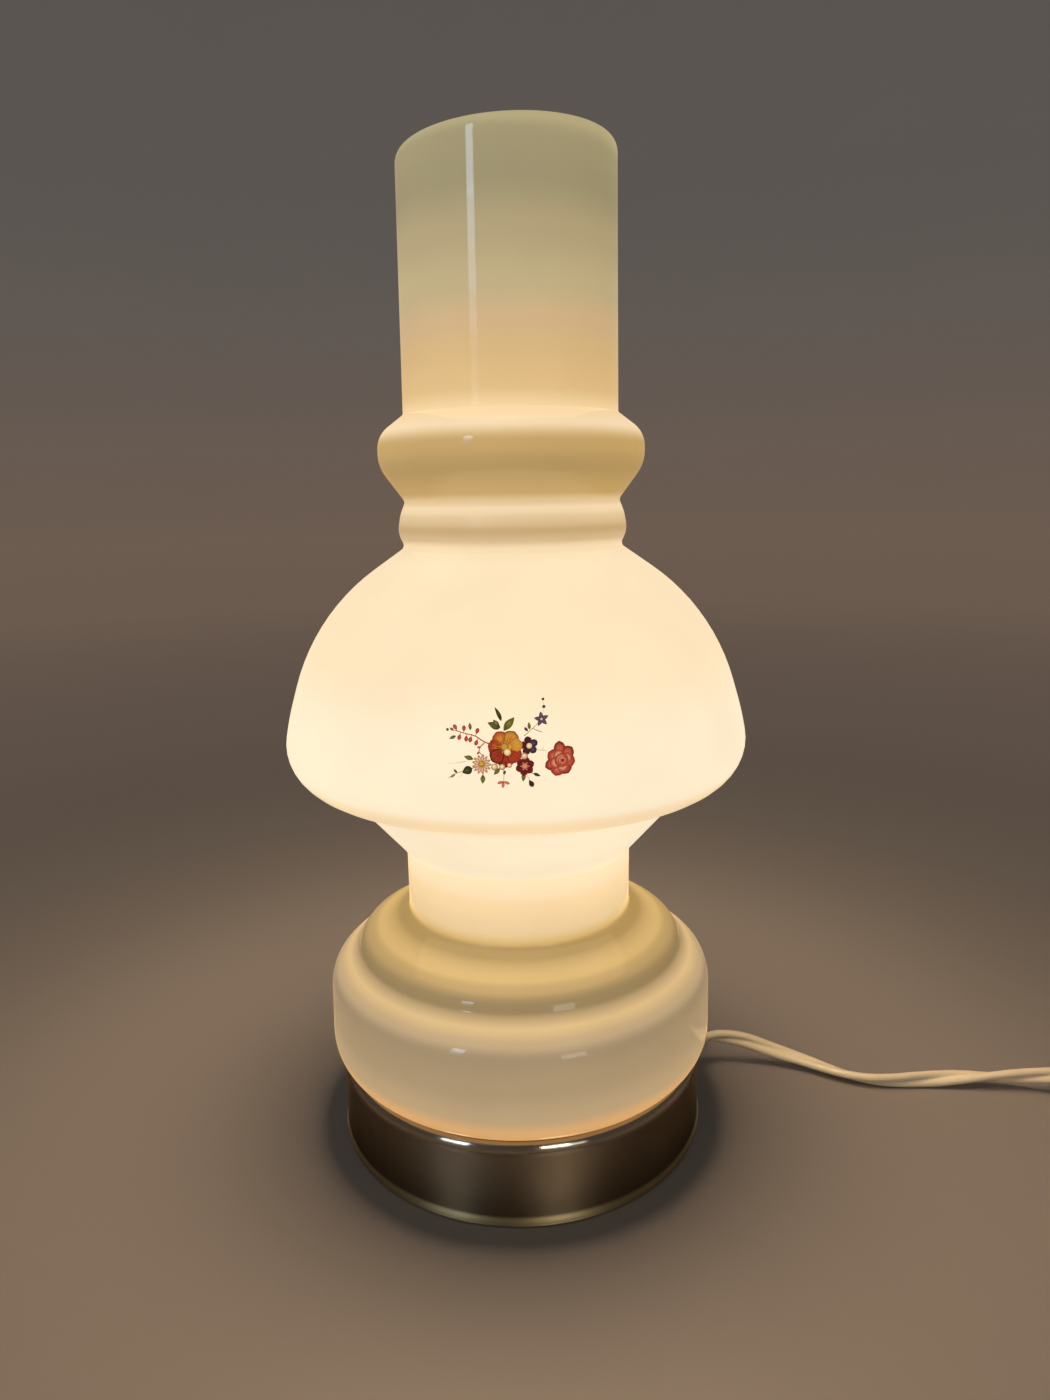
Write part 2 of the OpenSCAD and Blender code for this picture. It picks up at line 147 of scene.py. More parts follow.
# ---------------------------------------------------------------- materials
def material(name, color=(0.8, 0.8, 0.8), rough=0.4, metal=0.0, vary=0.06, scale=60.0, rough_vary=0.08, bump=0.0, bump_scale=400.0, **sockets):
    """Principled material with a slow colour drift, uneven gloss and a fine relief."""
    mt = bpy.data.materials.new(name)
    mt.use_nodes = True
    nt = mt.node_tree
    p = nt.nodes["Principled BSDF"]
    tc = nt.nodes.new("ShaderNodeTexCoord")
    nz = nt.nodes.new("ShaderNodeTexNoise")
    nz.inputs["Scale"].default_value = scale
    nz.inputs["Detail"].default_value = 4
    nt.links.new(tc.outputs["Object"], nz.inputs["Vector"])
    cr = nt.nodes.new("ShaderNodeValToRGB")
    cr.color_ramp.elements[0].position, cr.color_ramp.elements[1].position = 0.3, 0.7
    cr.color_ramp.elements[0].color = (*[c * (1 - vary) for c in color], 1)
    cr.color_ramp.elements[1].color = (*[min(1, c * (1 + vary)) for c in color], 1)
    nt.links.new(nz.outputs["Fac"], cr.inputs["Fac"])
    nt.links.new(cr.outputs["Color"], p.inputs["Base Color"])
    mr = nt.nodes.new("ShaderNodeMapRange")
    mr.inputs["To Min"].default_value, mr.inputs["To Max"].default_value = max(0.02, rough - rough_vary), min(1, rough + rough_vary)
    n2 = nt.nodes.new("ShaderNodeTexNoise")
    n2.inputs["Scale"].default_value = scale * 3.1
    n2.inputs["Detail"].default_value = 3
    nt.links.new(tc.outputs["Object"], n2.inputs["Vector"])
    nt.links.new(n2.outputs["Fac"], mr.inputs["Value"])
    nt.links.new(mr.outputs["Result"], p.inputs["Roughness"])
    p.inputs["Metallic"].default_value = metal
    if bump:
        bp = nt.nodes.new("ShaderNodeBump")
        bp.inputs["Strength"].default_value = bump
        bp.inputs["Distance"].default_value = 0.0002
        n3 = nt.nodes.new("ShaderNodeTexNoise")
        n3.inputs["Scale"].default_value = bump_scale
        n3.inputs["Detail"].default_value = 3
        nt.links.new(tc.outputs["Object"], n3.inputs["Vector"])
        nt.links.new(n3.outputs["Fac"], bp.inputs["Height"])
        nt.links.new(bp.outputs["Normal"], p.inputs["Normal"])
    for k, v in sockets.items():
        p.inputs[k.replace("_", " ")].default_value = v
    return mt


MAT = {
    "foot_metal": material("foot_metal", (0.26, 0.188, 0.118), 0.20, 1.0, 0.10, 35, 0.05, 0.05, 900),
    "steel": material("steel", (0.56, 0.55, 0.52), 0.32, 1.0, 0.08, 90, 0.08, 0.08, 900),
    "felt": material("felt", (0.035, 0.06, 0.04), 0.95, 0.0, 0.25, 900, 0.04, 0.6, 2600),
    "brass": material("brass", (0.72, 0.52, 0.22), 0.28, 1.0, 0.10, 80, 0.08),
    "rubber": material("rubber", (0.022, 0.022, 0.022), 0.72, 0.0, 0.15, 300, 0.08, 0.2, 1500),
    "cream_plastic": material("cream_plastic", (0.80, 0.70, 0.48), 0.38, 0.0, 0.04, 45, 0.06, 0.10, 1600),
    "cream_flex": material("cream_flex", (0.95, 0.84, 0.60), 0.36, 0.0, 0.06, 55, 0.08, 0.12, 1400),
    "dark_plastic": material("dark_plastic", (0.022, 0.017, 0.014), 0.24, 0.0, 0.2, 70, 0.06, 0.06, 900),
    "porcelain": material("porcelain", (0.80, 0.77, 0.70), 0.18, 0.0, 0.04, 60, 0.05),
    "black_glass": material("black_glass", (0.012, 0.012, 0.012), 0.12, 0.0, 0.1, 60, 0.04),
    "bulb_metal": material("bulb_metal", (0.66, 0.64, 0.60), 0.30, 1.0, 0.06, 90, 0.08),
    "clear_glass": material("clear_glass", (0.85, 0.88, 0.86), 0.08, 0.0, 0.02, 50, 0.03, Transmission_Weight=0.9, IOR=1.5),
    "tie_plastic": material("tie_plastic", (0.02, 0.02, 0.02), 0.5, 0.0, 0.15, 200, 0.08, 0.1, 900),
    "pin_metal": material("pin_metal", (0.70, 0.66, 0.55), 0.22, 1.0, 0.05, 90, 0.06),
    "bulb_glass": material("bulb_glass", (0.95, 0.90, 0.80), 0.35, 0.0, 0.02, 60, 0.05, Emission_Color=(1.0, 0.86, 0.60, 1), Emission_Strength=0.95),
    "filament": material("filament", (0.9, 0.6, 0.3), 0.4, 0.0, 0.02, 60, 0.05, Emission_Color=(1.0, 0.7, 0.35, 1), Emission_Strength=8.0),
}


def glass_material(name):
    """Glossy opal glass; the light that comes through it is stored on the mesh as the attribute glow, together with
    painted light and reflections that the other glass throws on it.
    """
    mt = material(name, (0.55, 0.51, 0.40), 0.05, 0.0, 0.015, 25, 0.015, 0.02, 90, IOR=1.5)
    nt = mt.node_tree
    p = nt.nodes["Principled BSDF"]
    # the cup and the dome are satin, the ring above them less so, the rest is bright
    co, sp, gl = nt.nodes.new("ShaderNodeTexCoord"), nt.nodes.new("ShaderNodeSeparateXYZ"), nt.nodes.new("ShaderNodeValToRGB")
    hi_ = nt.nodes.new("ShaderNodeMapRange")
    hi_.inputs["From Max"].default_value = 0.4
    e = gl.color_ramp.elements
    e[0].position, e[1].position = 0.0935 / 0.4, 0.228 / 0.4
    e[0].color = e[1].color = (0.05, 0.05, 0.05, 1)
    for z, v in ((0.0965, 0.45), (0.119, 0.4), (0.187, 0.4), (0.205, 0.3), (0.214, 0.12)):
        e.new(z / 0.4).color = (v, v, v, 1)
    nt.links.new(co.outputs["Object"], sp.inputs["Vector"])
    nt.links.new(sp.outputs["Z"], hi_.inputs["Value"])
    nt.links.new(hi_.outputs["Result"], gl.inputs["Fac"])
    nt.links.new(gl.outputs["Color"], p.inputs["Roughness"])
    at = nt.nodes.new("ShaderNodeAttribute")
    at.attribute_name = "glow"
    # faint clouding of the glass
    tc = nt.nodes.new("ShaderNodeTexCoord")
    nz = nt.nodes.new("ShaderNodeTexNoise")
    nz.inputs["Scale"].default_value = 28
    nz.inputs["Detail"].default_value = 5
    nt.links.new(tc.outputs["Object"], nz.inputs["Vector"])
    mr = nt.nodes.new("ShaderNodeMapRange")
    mr.inputs["From Min"].default_value, mr.inputs["From Max"].default_value = 0.3, 0.7
    mr.inputs["To Min"].default_value, mr.inputs["To Max"].default_value = 0.96, 1.04
    nt.links.new(nz.outputs["Fac"], mr.inputs["Value"])
    mx = nt.nodes.new("ShaderNodeMix")
    mx.data_type, mx.blend_type = "RGBA", "MULTIPLY"
    mx.inputs["Factor"].default_value = 1.0
    nt.links.new(at.outputs["Color"], mx.inputs["A"])
    nt.links.new(mr.outputs["Result"], mx.inputs["B"])
    nt.links.new(mx.outputs["Result"], p.inputs["Emission Color"])
    p.inputs["Emission Strength"].default_value = 1.0
    mt.cycles.emission_sampling = "NONE"
    return mt


def foot_material(mt):
    """Spun and polished plate: fine turning marks draw the light out upwards, and the bottom bead is worn to brass."""
    nt = mt.node_tree
    p = nt.nodes["Principled BSDF"]
    tg = nt.nodes.new("ShaderNodeTangent")
    tg.direction_type, tg.axis = "RADIAL", "Z"
    nt.links.new(tg.outputs["Tangent"], p.inputs["Tangent"])
    p.inputs["Anisotropic"].default_value = 0.9
    p.inputs["Anisotropic Rotation"].default_value = 0.25
    tc, sp, mr, mx = (nt.nodes.new("ShaderNode" + k) for k in ("TexCoord", "SeparateXYZ", "MapRange", "Mix"))
    mr.inputs["From Min"].default_value, mr.inputs["From Max"].default_value = 0.0028, 0.0038
    mx.data_type = "RGBA"
    mx.inputs["A"].default_value = (0.42, 0.34, 0.18, 1)
    nt.links.new(tc.outputs["Object"], sp.inputs["Vector"])
    nt.links.new(sp.outputs["Z"], mr.inputs["Value"])
    nt.links.new(mr.outputs["Result"], mx.inputs["Factor"])
    # painted shade and reflection: the wall is darker near the table, where it mirrors the shadowed floor
    low, painted_shade_mix = nt.nodes.new("ShaderNodeMapRange"), nt.nodes.new("ShaderNodeMix")
    low.inputs["From Min"].default_value, low.inputs["From Max"].default_value = 0.004, 0.022
    painted_shade_mix.data_type = "RGBA"
    painted_shade_mix.inputs["A"].default_value = (0.145, 0.108, 0.066, 1)
    nt.links.new(sp.outputs["Z"], low.inputs["Value"])
    nt.links.new(low.outputs["Result"], painted_shade_mix.inputs["Factor"])
    nt.links.new(p.inputs["Base Color"].links[0].from_socket, painted_shade_mix.inputs["B"])
    nt.links.new(painted_shade_mix.outputs["Result"], mx.inputs["B"])
    # the rolled edge is paler: partly its polish, partly a painted highlight that makes its highlights brighter and
    # whiter
    top, rim_highlight_mix = nt.nodes.new("ShaderNodeMapRange"), nt.nodes.new("ShaderNodeMix")
    top.inputs["From Min"].default_value, top.inputs["From Max"].default_value = 0.0235, 0.0250
    rim_highlight_mix.data_type = "RGBA"
    rim_highlight_mix.inputs["B"].default_value = (0.42, 0.38, 0.31, 1)
    nt.links.new(sp.outputs["Z"], top.inputs["Value"])
    nt.links.new(top.outputs["Result"], rim_highlight_mix.inputs["Factor"])
    nt.links.new(mx.outputs["Result"], rim_highlight_mix.inputs["A"])
    nt.links.new(rim_highlight_mix.outputs["Result"], p.inputs["Base Color"])
    # upright stains and fine marks, duller towards the top
    mp, nz = nt.nodes.new("ShaderNodeMapping"), nt.nodes.new("ShaderNodeTexNoise")
    mp.inputs["Scale"].default_value = (260, 260, 22)
    nz.inputs["Scale"].default_value, nz.inputs["Detail"].default_value = 1.0, 4
    m2 = nt.nodes.new("ShaderNodeMapRange")
    m4 = nt.nodes.new("ShaderNodeMapRange")
    m4.inputs["From Max"].default_value = 0.03
    nt.links.new(sp.outputs["Z"], m4.inputs["Value"])
    for socket, bead, low, high in (("To Min", 0.45, 0.34, 0.58), ("To Max", 0.60, 0.48, 0.74)):
        h = nt.nodes.new("ShaderNodeValToRGB")
        e = h.color_ramp.elements
        e[0].position, e[1].position = 0.11, 0.74
        e[0].color, e[1].color = (bead, bead, bead, 1), (high, high, high, 1)
        e.new(0.125).color = (low, low, low, 1)
        nt.links.new(m4.outputs["Result"], h.inputs["Fac"])
        nt.links.new(h.outputs["Color"], m2.inputs[socket])
    nt.links.new(tc.outputs["Object"], mp.inputs["Vector"])
    nt.links.new(mp.outputs["Vector"], nz.inputs["Vector"])
    nt.links.new(nz.outputs["Fac"], m2.inputs["Value"])
    # the rolled edge is polished
    edge, m3 = nt.nodes.new("ShaderNodeValToRGB"), nt.nodes.new("ShaderNodeMix")
    e = edge.color_ramp.elements
    e[0].position, e[1].position = 0.76, 0.82
    e[0].color, e[1].color = (0, 0, 0, 1), (1, 1, 1, 1)
    m3.inputs["B"].default_value = 0.16
    nt.links.new(m4.outputs["Result"], edge.inputs["Fac"])
    nt.links.new(edge.outputs["Color"], m3.inputs["Factor"])
    nt.links.new(m2.outputs["Result"], m3.inputs["A"])
    nt.links.new(m3.outputs["Result"], p.inputs["Roughness"])
    p.inputs["Specular Tint"].default_value = (0.45, 0.40, 0.34, 1)
    return mt


MAT["foot_metal"] = foot_material(MAT["foot_metal"])
MAT["opal_glass"] = glass_material("opal_glass")
slot_of = {s["node"]: s["material_slot"] for s in frame["record"]["subparts"]}
for n, ob in NODES.items():
    ob.data.materials.clear()
    ob.data.materials.append(MAT[slot_of[n]])


def finish_piece(ob, body, slot, *nodes):
    if not ob.data.materials:
        ob.data.materials.append(MAT[slot])
    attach(ob, body)
    if nodes:
        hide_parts(*nodes)
    return ob


# ---------------------------------------------------------------- cord
def smooth_path(points, step):
    """Even points on a smooth curve through the given ones."""
    p = [Vector(q) for q in points]
    p = [p[0] * 2 - p[1]] + p + [p[-1] * 2 - p[-2]]
    fine = []
    for i in range(1, len(p) - 2):
        a, b, c, d = p[i - 1:i + 3]
        ta, tb = (b - a).length ** 0.5, (c - b).length ** 0.5
        tc_ = (d - c).length ** 0.5
        m1 = (b - a) / ta - (c - a) / (ta + tb) + (c - b) / tb
        m2 = (c - b) / tb - (d - b) / (tb + tc_) + (d - c) / tc_
        m1, m2 = m1 * tb, m2 * tb
        for k in range(24):
            t = k / 24
            fine.append((2 * t ** 3 - 3 * t * t + 1) * b + (t ** 3 - 2 * t * t + t) * m1 + (-2 * t ** 3 + 3 * t * t) * c + (t ** 3 - t * t) * m2)
    fine.append(p[-2])
    out, left = [fine[0]], step
    for a, b in zip(fine, fine[1:]):
        l, at = (b - a).length, 0.0
        while l - at >= left:
            at += left
            out.append(a + (b - a) * (at / l))
            left = step
        left -= l - at
    if (out[-1] - fine[-1]).length > step * 0.4:
        out.append(fine[-1])
    else:
        out[-1] = fine[-1]
    return out


CORD_W, CORD_T = 5.4, 2.7
EXIT_DIR = Vector((math.cos(math.radians(16)), math.sin(math.radians(16)), 0))
tip = EXIT_DIR * 70 + Vector((0, 0, 10))
lead = [tip - EXIT_DIR * 6, tip, (72.2, 20.3, 10), (77.2, 20.1, 9.5), (82.5, 19.2, 8.7), (89, 17.7, 6.9), (96, 16, 5), (103, 13.4, 3.7),
        (110, 9.4, 2.9), (117, 5.2, 2.7), (124, 2.6, 2.7), (132, 1.7, 2.7), (144, 1.9, 2.8), (157, 1.5, 3.6), (170, -0.4, 4.9), (180, -2.3, 6),
        (188, -3.4, 6.9), (196, -3.7, 7.7), (203, -3.4, 8.3), (208, -3.1, 8.5), (213, -3, 8.5),
        (226, -3, 7.4), (238, -3, 5.6), (249, -3, 5.2), (260, -3, 5.6), (272, -3, 7.4), (285, -3, 8.5),
        (289, -3, 8.5), (294, -3, 8), (300, -3, 6.5), (306, -3, 4.9), (312, -3, 3.8)]
coil_c = Vector((318, -43, 0))
lanes = [(40.1, 3.5), (34.7, 3.5), (29.3, 3.5), (23.9, 3.5), (26.6, 8.2), (32.0, 8.2), (37.4, 8.2), (34.7, 12.9)]
coil = []
for k, (r0, z0) in enumerate(lanes[:-1]):
    r1, z1 = lanes[k + 1]
    for i in range(36):
        a = i * 10
        t = min(1, max(0, (a - 205) / 135))
        t = t * t * (3 - 2 * t)
        th = math.radians(90 - a)
        r, z = r0 + (r1 - r0) * t, z0 + (z1 - z0) * t
        coil.append(coil_c + Vector((r * math.cos(th), r * math.sin(th), z)))
for a, r, z in [(90, 34.7, 12.9), (70, 34.6, 12.9), (50, 34.2, 12.9), (30, 33.4, 13.0), (12, 32.4, 13.3)]:
    th = math.radians(a)
    coil.append(coil_c + Vector((r * math.cos(th), r * math.sin(th), z)))
tail = [(350.0, -43, 13.8), (349.0, -50.5, 15.0), (345.4, -57.2, 16.4), (340.0, -61.8, 17.6), (333.6, -64.5, 18.1), (327, -66, 18.2), (321.1, -67.25, 18.2)]
path = smooth_path(lead + coil + tail, 1.8)


def flex_section():
    """Outline of the flat twin flex: two round cores side by side with a groove between."""
    out = []
    for side in (1, -1):
        for k in range(11):
            a = math.radians(-152 + 304 * k / 10)
            out.append((side * (1.3 + 1.38 * math.cos(a)), side * 1.38 * math.sin(a)))
    return out


def flex_mesh(name, path, twist):
    sec, n = flex_section(), len(flex_section())
    verts, faces, s = [], [], 0.0
    side = None
    for i, p in enumerate(path):
        t = (path[min(i + 1, len(path) - 1)] - path[max(i - 1, 0)]).normalized()
        flat = t.cross(Vector((0, 0, 1))).normalized()
        up = flat.cross(t).normalized()
        if i:
            s += (p - path[i - 1]).length
        a = twist(s)
        u, v = flat * math.cos(a) + up * math.sin(a), up * math.cos(a) - flat * math.sin(a)
        for x, y in sec:
            verts.append((p + u * x + v * y) * MM)
    for i in range(len(path) - 1):
        for k in range(n):
            j = (k + 1) % n
            faces.append((i * n + k, i * n + j, (i + 1) * n + j, (i + 1) * n + k))
    faces.append(tuple(reversed(range(n))))
    faces.append(tuple((len(path) - 1) * n + k for k in range(n)))
    return new_object(name, verts, faces), s


def twist_at(s):
    return 0.2 + 2 * math.pi * s / 102 + 0.35 * math.sin(s / 17)


flex, flex_len = flex_mesh("twin_flex", path, twist_at)
finish_piece(flex, "root", "cream_flex", "cord_lead", "cord_return", "cord_coil", "plug_lead")


# ---------------------------------------------------------------- switch, plug and tie
def loft(rings, ends=True):
    """Skin over rings of points in millimetres, closed by flat ends or back to the first ring."""
    n, m_ = len(rings[0]), len(rings)
    verts, faces = [Vector(q) for r in rings for q in r], []
    for i in range(m_ - 1 if ends else m_):
        a, b = i * n, (i + 1) % m_ * n
        faces += [(a + k, a + (k + 1) % n, b + (k + 1) % n, b + k) for k in range(n)]
    if ends:
        faces += [tuple(reversed(range(n))), tuple((m_ - 1) * n + k for k in range(n))]
    return verts, faces


def assembled(name, parts, place):
    """One object from several skins; place turns local millimetres into the part's frame."""
    verts, faces = [], []
    for v, f in parts:
        faces += [tuple(len(verts) + k for k in q) for q in f]
        verts += [place(q) * MM for q in v]
    ob = new_object(name, verts, faces)
    bm = bmesh.new()
    bm.from_mesh(ob.data)
    bmesh.ops.recalc_face_normals(bm, faces=bm.faces[:])
    bm.to_mesh(ob.data)
    bm.free()
    ob.data.set_sharp_from_angle(angle=math.radians(40))
    return ob


def oblong(l, w, r, z, n=8):
    """Rounded rectangle at height z."""
    out = []
    for k, (sx, sy) in enumerate(((1, 1), (-1, 1), (-1, -1), (1, -1))):
        for i in range(n + 1):
            a = math.radians(90 * k + 90 * i / n)
            out.append((sx * (l / 2 - r) + r * math.cos(a), sy * (w / 2 - r) + r * math.sin(a), z))
    return out


def round_x(profile, n=32, y=0.0):
    """Turned skin about the x axis from (x, r)."""
    return loft([[(x, y + r * math.cos(2 * math.pi * k / n), r * math.sin(2 * math.pi * k / n)) for k in range(n)] for x, r in profile])


def ribbed(x0, x1, r0, r1, count, deep):
    """Tapering sleeve with ring grooves."""
    out, step = [], (x1 - x0) / count
    for i in range(count):
        for f, d in ((0.0, 0), (0.5, 0), (0.58, deep), (0.92, deep)):
            x = x0 + step * (i + f)
            out.append((x, r0 + (r1 - r0) * (x - x0) / (x1 - x0) - d))
    return out + [(x1, r1), (x1 + (0.4 if x1 > x0 else -0.4), r1 - 0.5)]


SW = Vector((249, -3, 0))
cover = [oblong(57.3, 21.3, 5.7, 8.5), oblong(58, 22, 6, 8.9), oblong(58, 22, 6, 15.0)]
for k in range(1, 7):
    a = math.radians(15 * k)
    d = 2 * (1 - math.cos(a))
    cover.append(oblong(58 - 2 * d, 22 - 2 * d, 6 - 0.9 * d, 15.0 + 2 * math.sin(a)))
cover += [oblong(25.4, 12.2, 1.4, 17.0), oblong(24.3, 11.1, 0.9, 16.7), oblong(24, 10.8, 0.7, 16.2), oblong(24, 10.8, 0.7, 8.5)]
switch_cover = finish_piece(assembled("switch_cover", [loft(cover, False)], lambda q: q + SW), "root", "cream_plastic", "switch_upper")

key = rounded([(0, -5.2, 0), (1.2, -5.2, 0.4), (3, -2.6, 0.8), (10.6, 1.4, 0.6), (10.6, 3.6, 0.7), (8, 4.9, 1.2), (1, 4.3, 2.5), (-1, 4.3, 2.5),
               (-8, 4.9, 1.2), (-10.6, 3.6, 0.7), (-10.6, 1.4, 0.6), (-3, -2.6, 0.8), (-1.2, -5.2, 0.4), (0, -5.2, 0)], 5)[:-1]
rings = [[(q.x * k, y, q.y * k + 1.2 * (1 - k)) for q in key] for y, k in ((-5, 0.955), (-4.75, 0.99), (-4.5, 1), (4.5, 1), (4.75, 0.99), (5, 0.955))]
parts = [loft(rings), loft([[(1.5 * math.cos(math.pi * k / 12), y, 1.5 * math.sin(math.pi * k / 12)) for k in range(24)] for y in (-7.4, 7.4)])]
for x in (-7.6, -6.2, -4.8, 4.8, 6.2, 7.6):
    z = 4.3 + 0.6 * (abs(x) - 1) / 7
    parts.append(loft([[(x + r * math.cos(math.pi * k / 6), y, z - 0.1 + r * math.sin(math.pi * k / 6)) for k in range(12)] for y, r in ((-3.6, 0.2), (-3.4, 0.42), (3.4, 0.42), (3.6, 0.2))]))
tilt = Matrix.Rotation(math.radians(7), 3, "Y")
rocker_key = finish_piece(assembled("rocker_key", parts, lambda q: tilt @ q + SW + Vector((0, 0, 13))), "rocker", "cream_plastic", "switch_rocker")

sleeve = [(19.5, 3), (29.1, 3), (29.1, 4.4), (30.2, 4.3)] + ribbed(30.6, 37.6, 4.1, 3.2, 4, 0.5)
parts = [round_x(sleeve), round_x([(-x, r) for x, r in sleeve])]
switch_sleeves = finish_piece(assembled("switch_sleeves", parts, lambda q: q + SW + Vector((0, 0, 8.5))), "root", "cream_plastic", "switch_grommets")

half_w = [(-48, 13.6), (-47.3, 15.6), (-46, 16.9), (-44, 17.5), (-35, 17.4), (-31, 16.2), (-15.5, 8.3), (-13.5, 6.8), (-12.4, 5.2)]
half_t = [(-48, 5.2), (-47.2, 6.2), (-45.5, 6.85), (-17, 6.85), (-14, 6.1), (-12.4, 4.6)]
rings = []
for i in range(103):
    x = -48 + 35.6 * i / 102
    grip = 0.55 * (0.5 - 0.5 * math.cos(2 * math.pi * (x + 31) / 2.8)) if -31 < x < -17 else 0
    w, t = ramp(half_w, x)[0] - grip, ramp(half_t, x)[0]
    ring = []
    for k in range(48):
        c, s_ = math.cos(2 * math.pi * k / 48), math.sin(2 * math.pi * k / 48)
        ring.append((x, math.copysign(w * abs(c) ** 0.36, c), math.copysign(t * abs(s_) ** 0.36, s_)))
    rings.append(ring)
parts = [loft(rings), round_x([(-14, 4.9)] + ribbed(-12.3, -0.5, 4.9, 3.2, 5, 0.55))]
parts += [round_x([(-47.4, 2.06), (-57.6, 2.06), (-57.9, 1.9)], 24, y) for y in (-9.3, 9.3)]
turn = Matrix.Rotation(math.radians(12), 3, "Z")
plug_shell = finish_piece(assembled("plug_shell", parts, lambda q: turn @ q + Vector((327, -66, 18.2))), "root", "cream_plastic", "plug_body")

strap = [[(q[0], y, q[1]) for q in oblong(l, w, r, 0)] for y, l, w, r in
         ((-3.7, 24.8, 12.1, 3.5), (3.7, 24.8, 12.1, 3.5), (4, 24.4, 11.7, 3.3), (4, 23.5, 10.8, 2.85), (3.8, 23.2, 10.5, 2.7), (-3.8, 23.2, 10.5, 2.7), (-4, 23.5, 10.8, 2.85), (-4, 24.4, 11.7, 3.3))]
tie_strap = finish_piece(assembled("tie_strap", [loft(strap, False)], lambda q: q + Vector((286, -43, 6.05))), "root", "tie_plastic", "coil_tie")

# worn edges on the plain pieces
for n, w in (("switch_lower", 0.5), ("cord_bushing", 0.3), ("base_plate", 0.25), ("tube_nuts", 0.3), ("clamp_bar", 0.3), ("switch_screws", 0.15)):
    b = NODES[n].modifiers.new("edge", "BEVEL")
    b.width, b.segments, b.limit_method, b.angle_limit = w * MM, 2, "ANGLE", math.radians(40)
print("flex length", flex_len)

# ---------------------------------------------------------------- glass
SEG, T = 192, 3.0
low_line = [(41, 25.3, 0), (63.2, 25.3, 11), (62.5, 56.2, 9.4), (53.2, 63.6, 2.2), (51.9, 67.4, 6), (36.3, 75.3, 2.8), (36.3, 96.5, 3),
            (36.3 + 20.9 * 0.848, 117.4, 0)]
LAMP_H = 302.0
shade_line = [(45.5, 114.2, 0), (45.5, 119.7, 2.5), (74.9, 119.7, 13.8), (70.2, 142.5, 80), (61.2, 172.6, 64), (32.8, 192.2, 1.8),
              (35.1, 196.2, 7.5), (34, 201.8, 8), (32.5, 205.6, 1.5), (40, 215.8, 11), (40, 224.6, 8), (32.1, 230.6, 1.2), (31.5, LAMP_H, 0)]


def glass_loop(line, end_round, lip=None):
    """Closed outline of a wall of thickness T with rounded ends; lip is (depth, height) of a fuller outer rounding of the last end."""
    q = spaced(rounded(line, 11), 2.0)
    inner = moved(q, T)
    loop, r = [], T / 2

    def cap(p, d, n):
        # half circle from the outer line's end to the inner line's end
        c = p + n * r - d * (r * end_round)
        return [c - n * r * math.cos(math.pi * k / 8) + d * r * math.sin(math.pi * k / 8) * end_round for k in range(1, 8)]

    d1 = (q[-1] - q[-2]).normalized()
    d0 = (q[0] - q[1]).normalized()
    n1, n0 = Vector((-d1.y, d1.x)), Vector((d0.y, -d0.x))
    q2, i2 = list(q), list(inner)
    q2[-1] = q[-1] - d1 * r * end_round
    i2[-1] = inner[-1] - d1 * r * end_round
    q2[0] = q[0] - d0 * r * end_round
    i2[0] = inner[0] - d0 * r * end_round
    top = cap(q[-1], d1, n1)
    if lip:
        w, h = lip
        while (q[-1] - q2[-2]).dot(d1) < h:
            q2.pop(-2)
        q2[-1] = q[-1] - d1 * h
        top = [q[-1] - d1 * h * (1 - math.sin(math.pi * k / 24)) + n1 * w * (1 - math.cos(math.pi * k / 24)) for k in range(1, 13)]
        k_ = T - w
        top += [q[-1] + n1 * (w + k_ * math.sin(math.pi * k / 10)) - d1 * k_ * 1.6 * (1 - math.cos(math.pi * k / 10)) for k in range(1, 5)]
        i2[-1] = inner[-1] - d1 * k_ * 1.6
    loop = q2 + top + list(reversed(i2)) + list(reversed(cap(q[0], d0, n0)))
    return loop, len(q2)


# Light that comes through each glass, painted by height, together with painted light and reflections from the dome and
# neck on the lower glass and painted shade in its creases: (height in mm, tone, strength as a display value of red)
TONE = {"pale": (1, 0.93, 0.80), "milk": (1, 0.90, 0.74), "cream": (1, 0.885, 0.71), "butter": (1, 0.86, 0.64), "honey": (1, 0.83, 0.56), "amber": (1, 0.75, 0.46),
        "olive": (1, 0.93, 0.68), "sand": (1, 0.90, 0.66), "dun": (1, 0.84, 0.61), "umber": (1, 0.81, 0.47), "ochre": (1, 0.79, 0.40)}
SHADE_GLOW = [(120, "cream", 226), (123.5, "cream", 232), (125.5, "cream", 240), (127.5, "pale", 245), (131, "pale", 248), (142, "pale", 248), (165, "milk", 248),
              (188, "milk", 246), (192.5, "cream", 240), (195, "butter", 200), (197.5, "honey", 188), (200, "butter", 210), (203.5, "cream", 236), (205.5, "butter", 215),
              (207.5, "umber", 180), (214, "umber", 165), (221, "umber", 186), (226, "cream", 240), (230, "butter", 237), (236, "honey", 213), (246, "honey", 204),
              (252, "dun", 197), (262, "sand", 180), (275, "sand", 164), (287, "olive", 142), (297, "olive", 147), (301, "olive", 170)]
LOW_GLOW = [(26, "amber", 195), (32, "amber", 208), (37, "dun", 168), (46, "dun", 150), (55, "dun", 142), (58.5, "dun", 184), (60, "honey", 206),
            (61.5, "honey", 218), (62.5, "honey", 184), (64.5, "umber", 130), (66, "umber", 136), (69, "umber", 182), (70.5, "umber", 212), (72, "umber", 200),
            (74, "ochre", 166), (75.5, "ochre", 168), (77, "umber", 205), (80, "butter", 224), (89, "butter", 240), (92.5, "cream", 246), (95, "cream", 250),
            (97, "cream", 250), (98.5, "pale", 232), (102, "pale", 232), (106, "pale", 237), (118, "pale", 238)]


def set_glow(ob, stops):
    stops = [(z, *[level * k for k in TONE[t]]) for z, t, level in stops]
    at = ob.data.attributes.new("glow", "FLOAT_COLOR", "POINT")
    vals = []
    for v in ob.data.vertices:
        vals.extend((*srgb(*ramp(stops, v.co.z / MM)), 1.0))
    at.data.foreach_set("color", vals)


def rim_shift(x, y, z):
    t = min(1, max(0, (z - 250) / (LAMP_H - 250)))
    return x * math.tan(math.radians(2.4)) * t * t


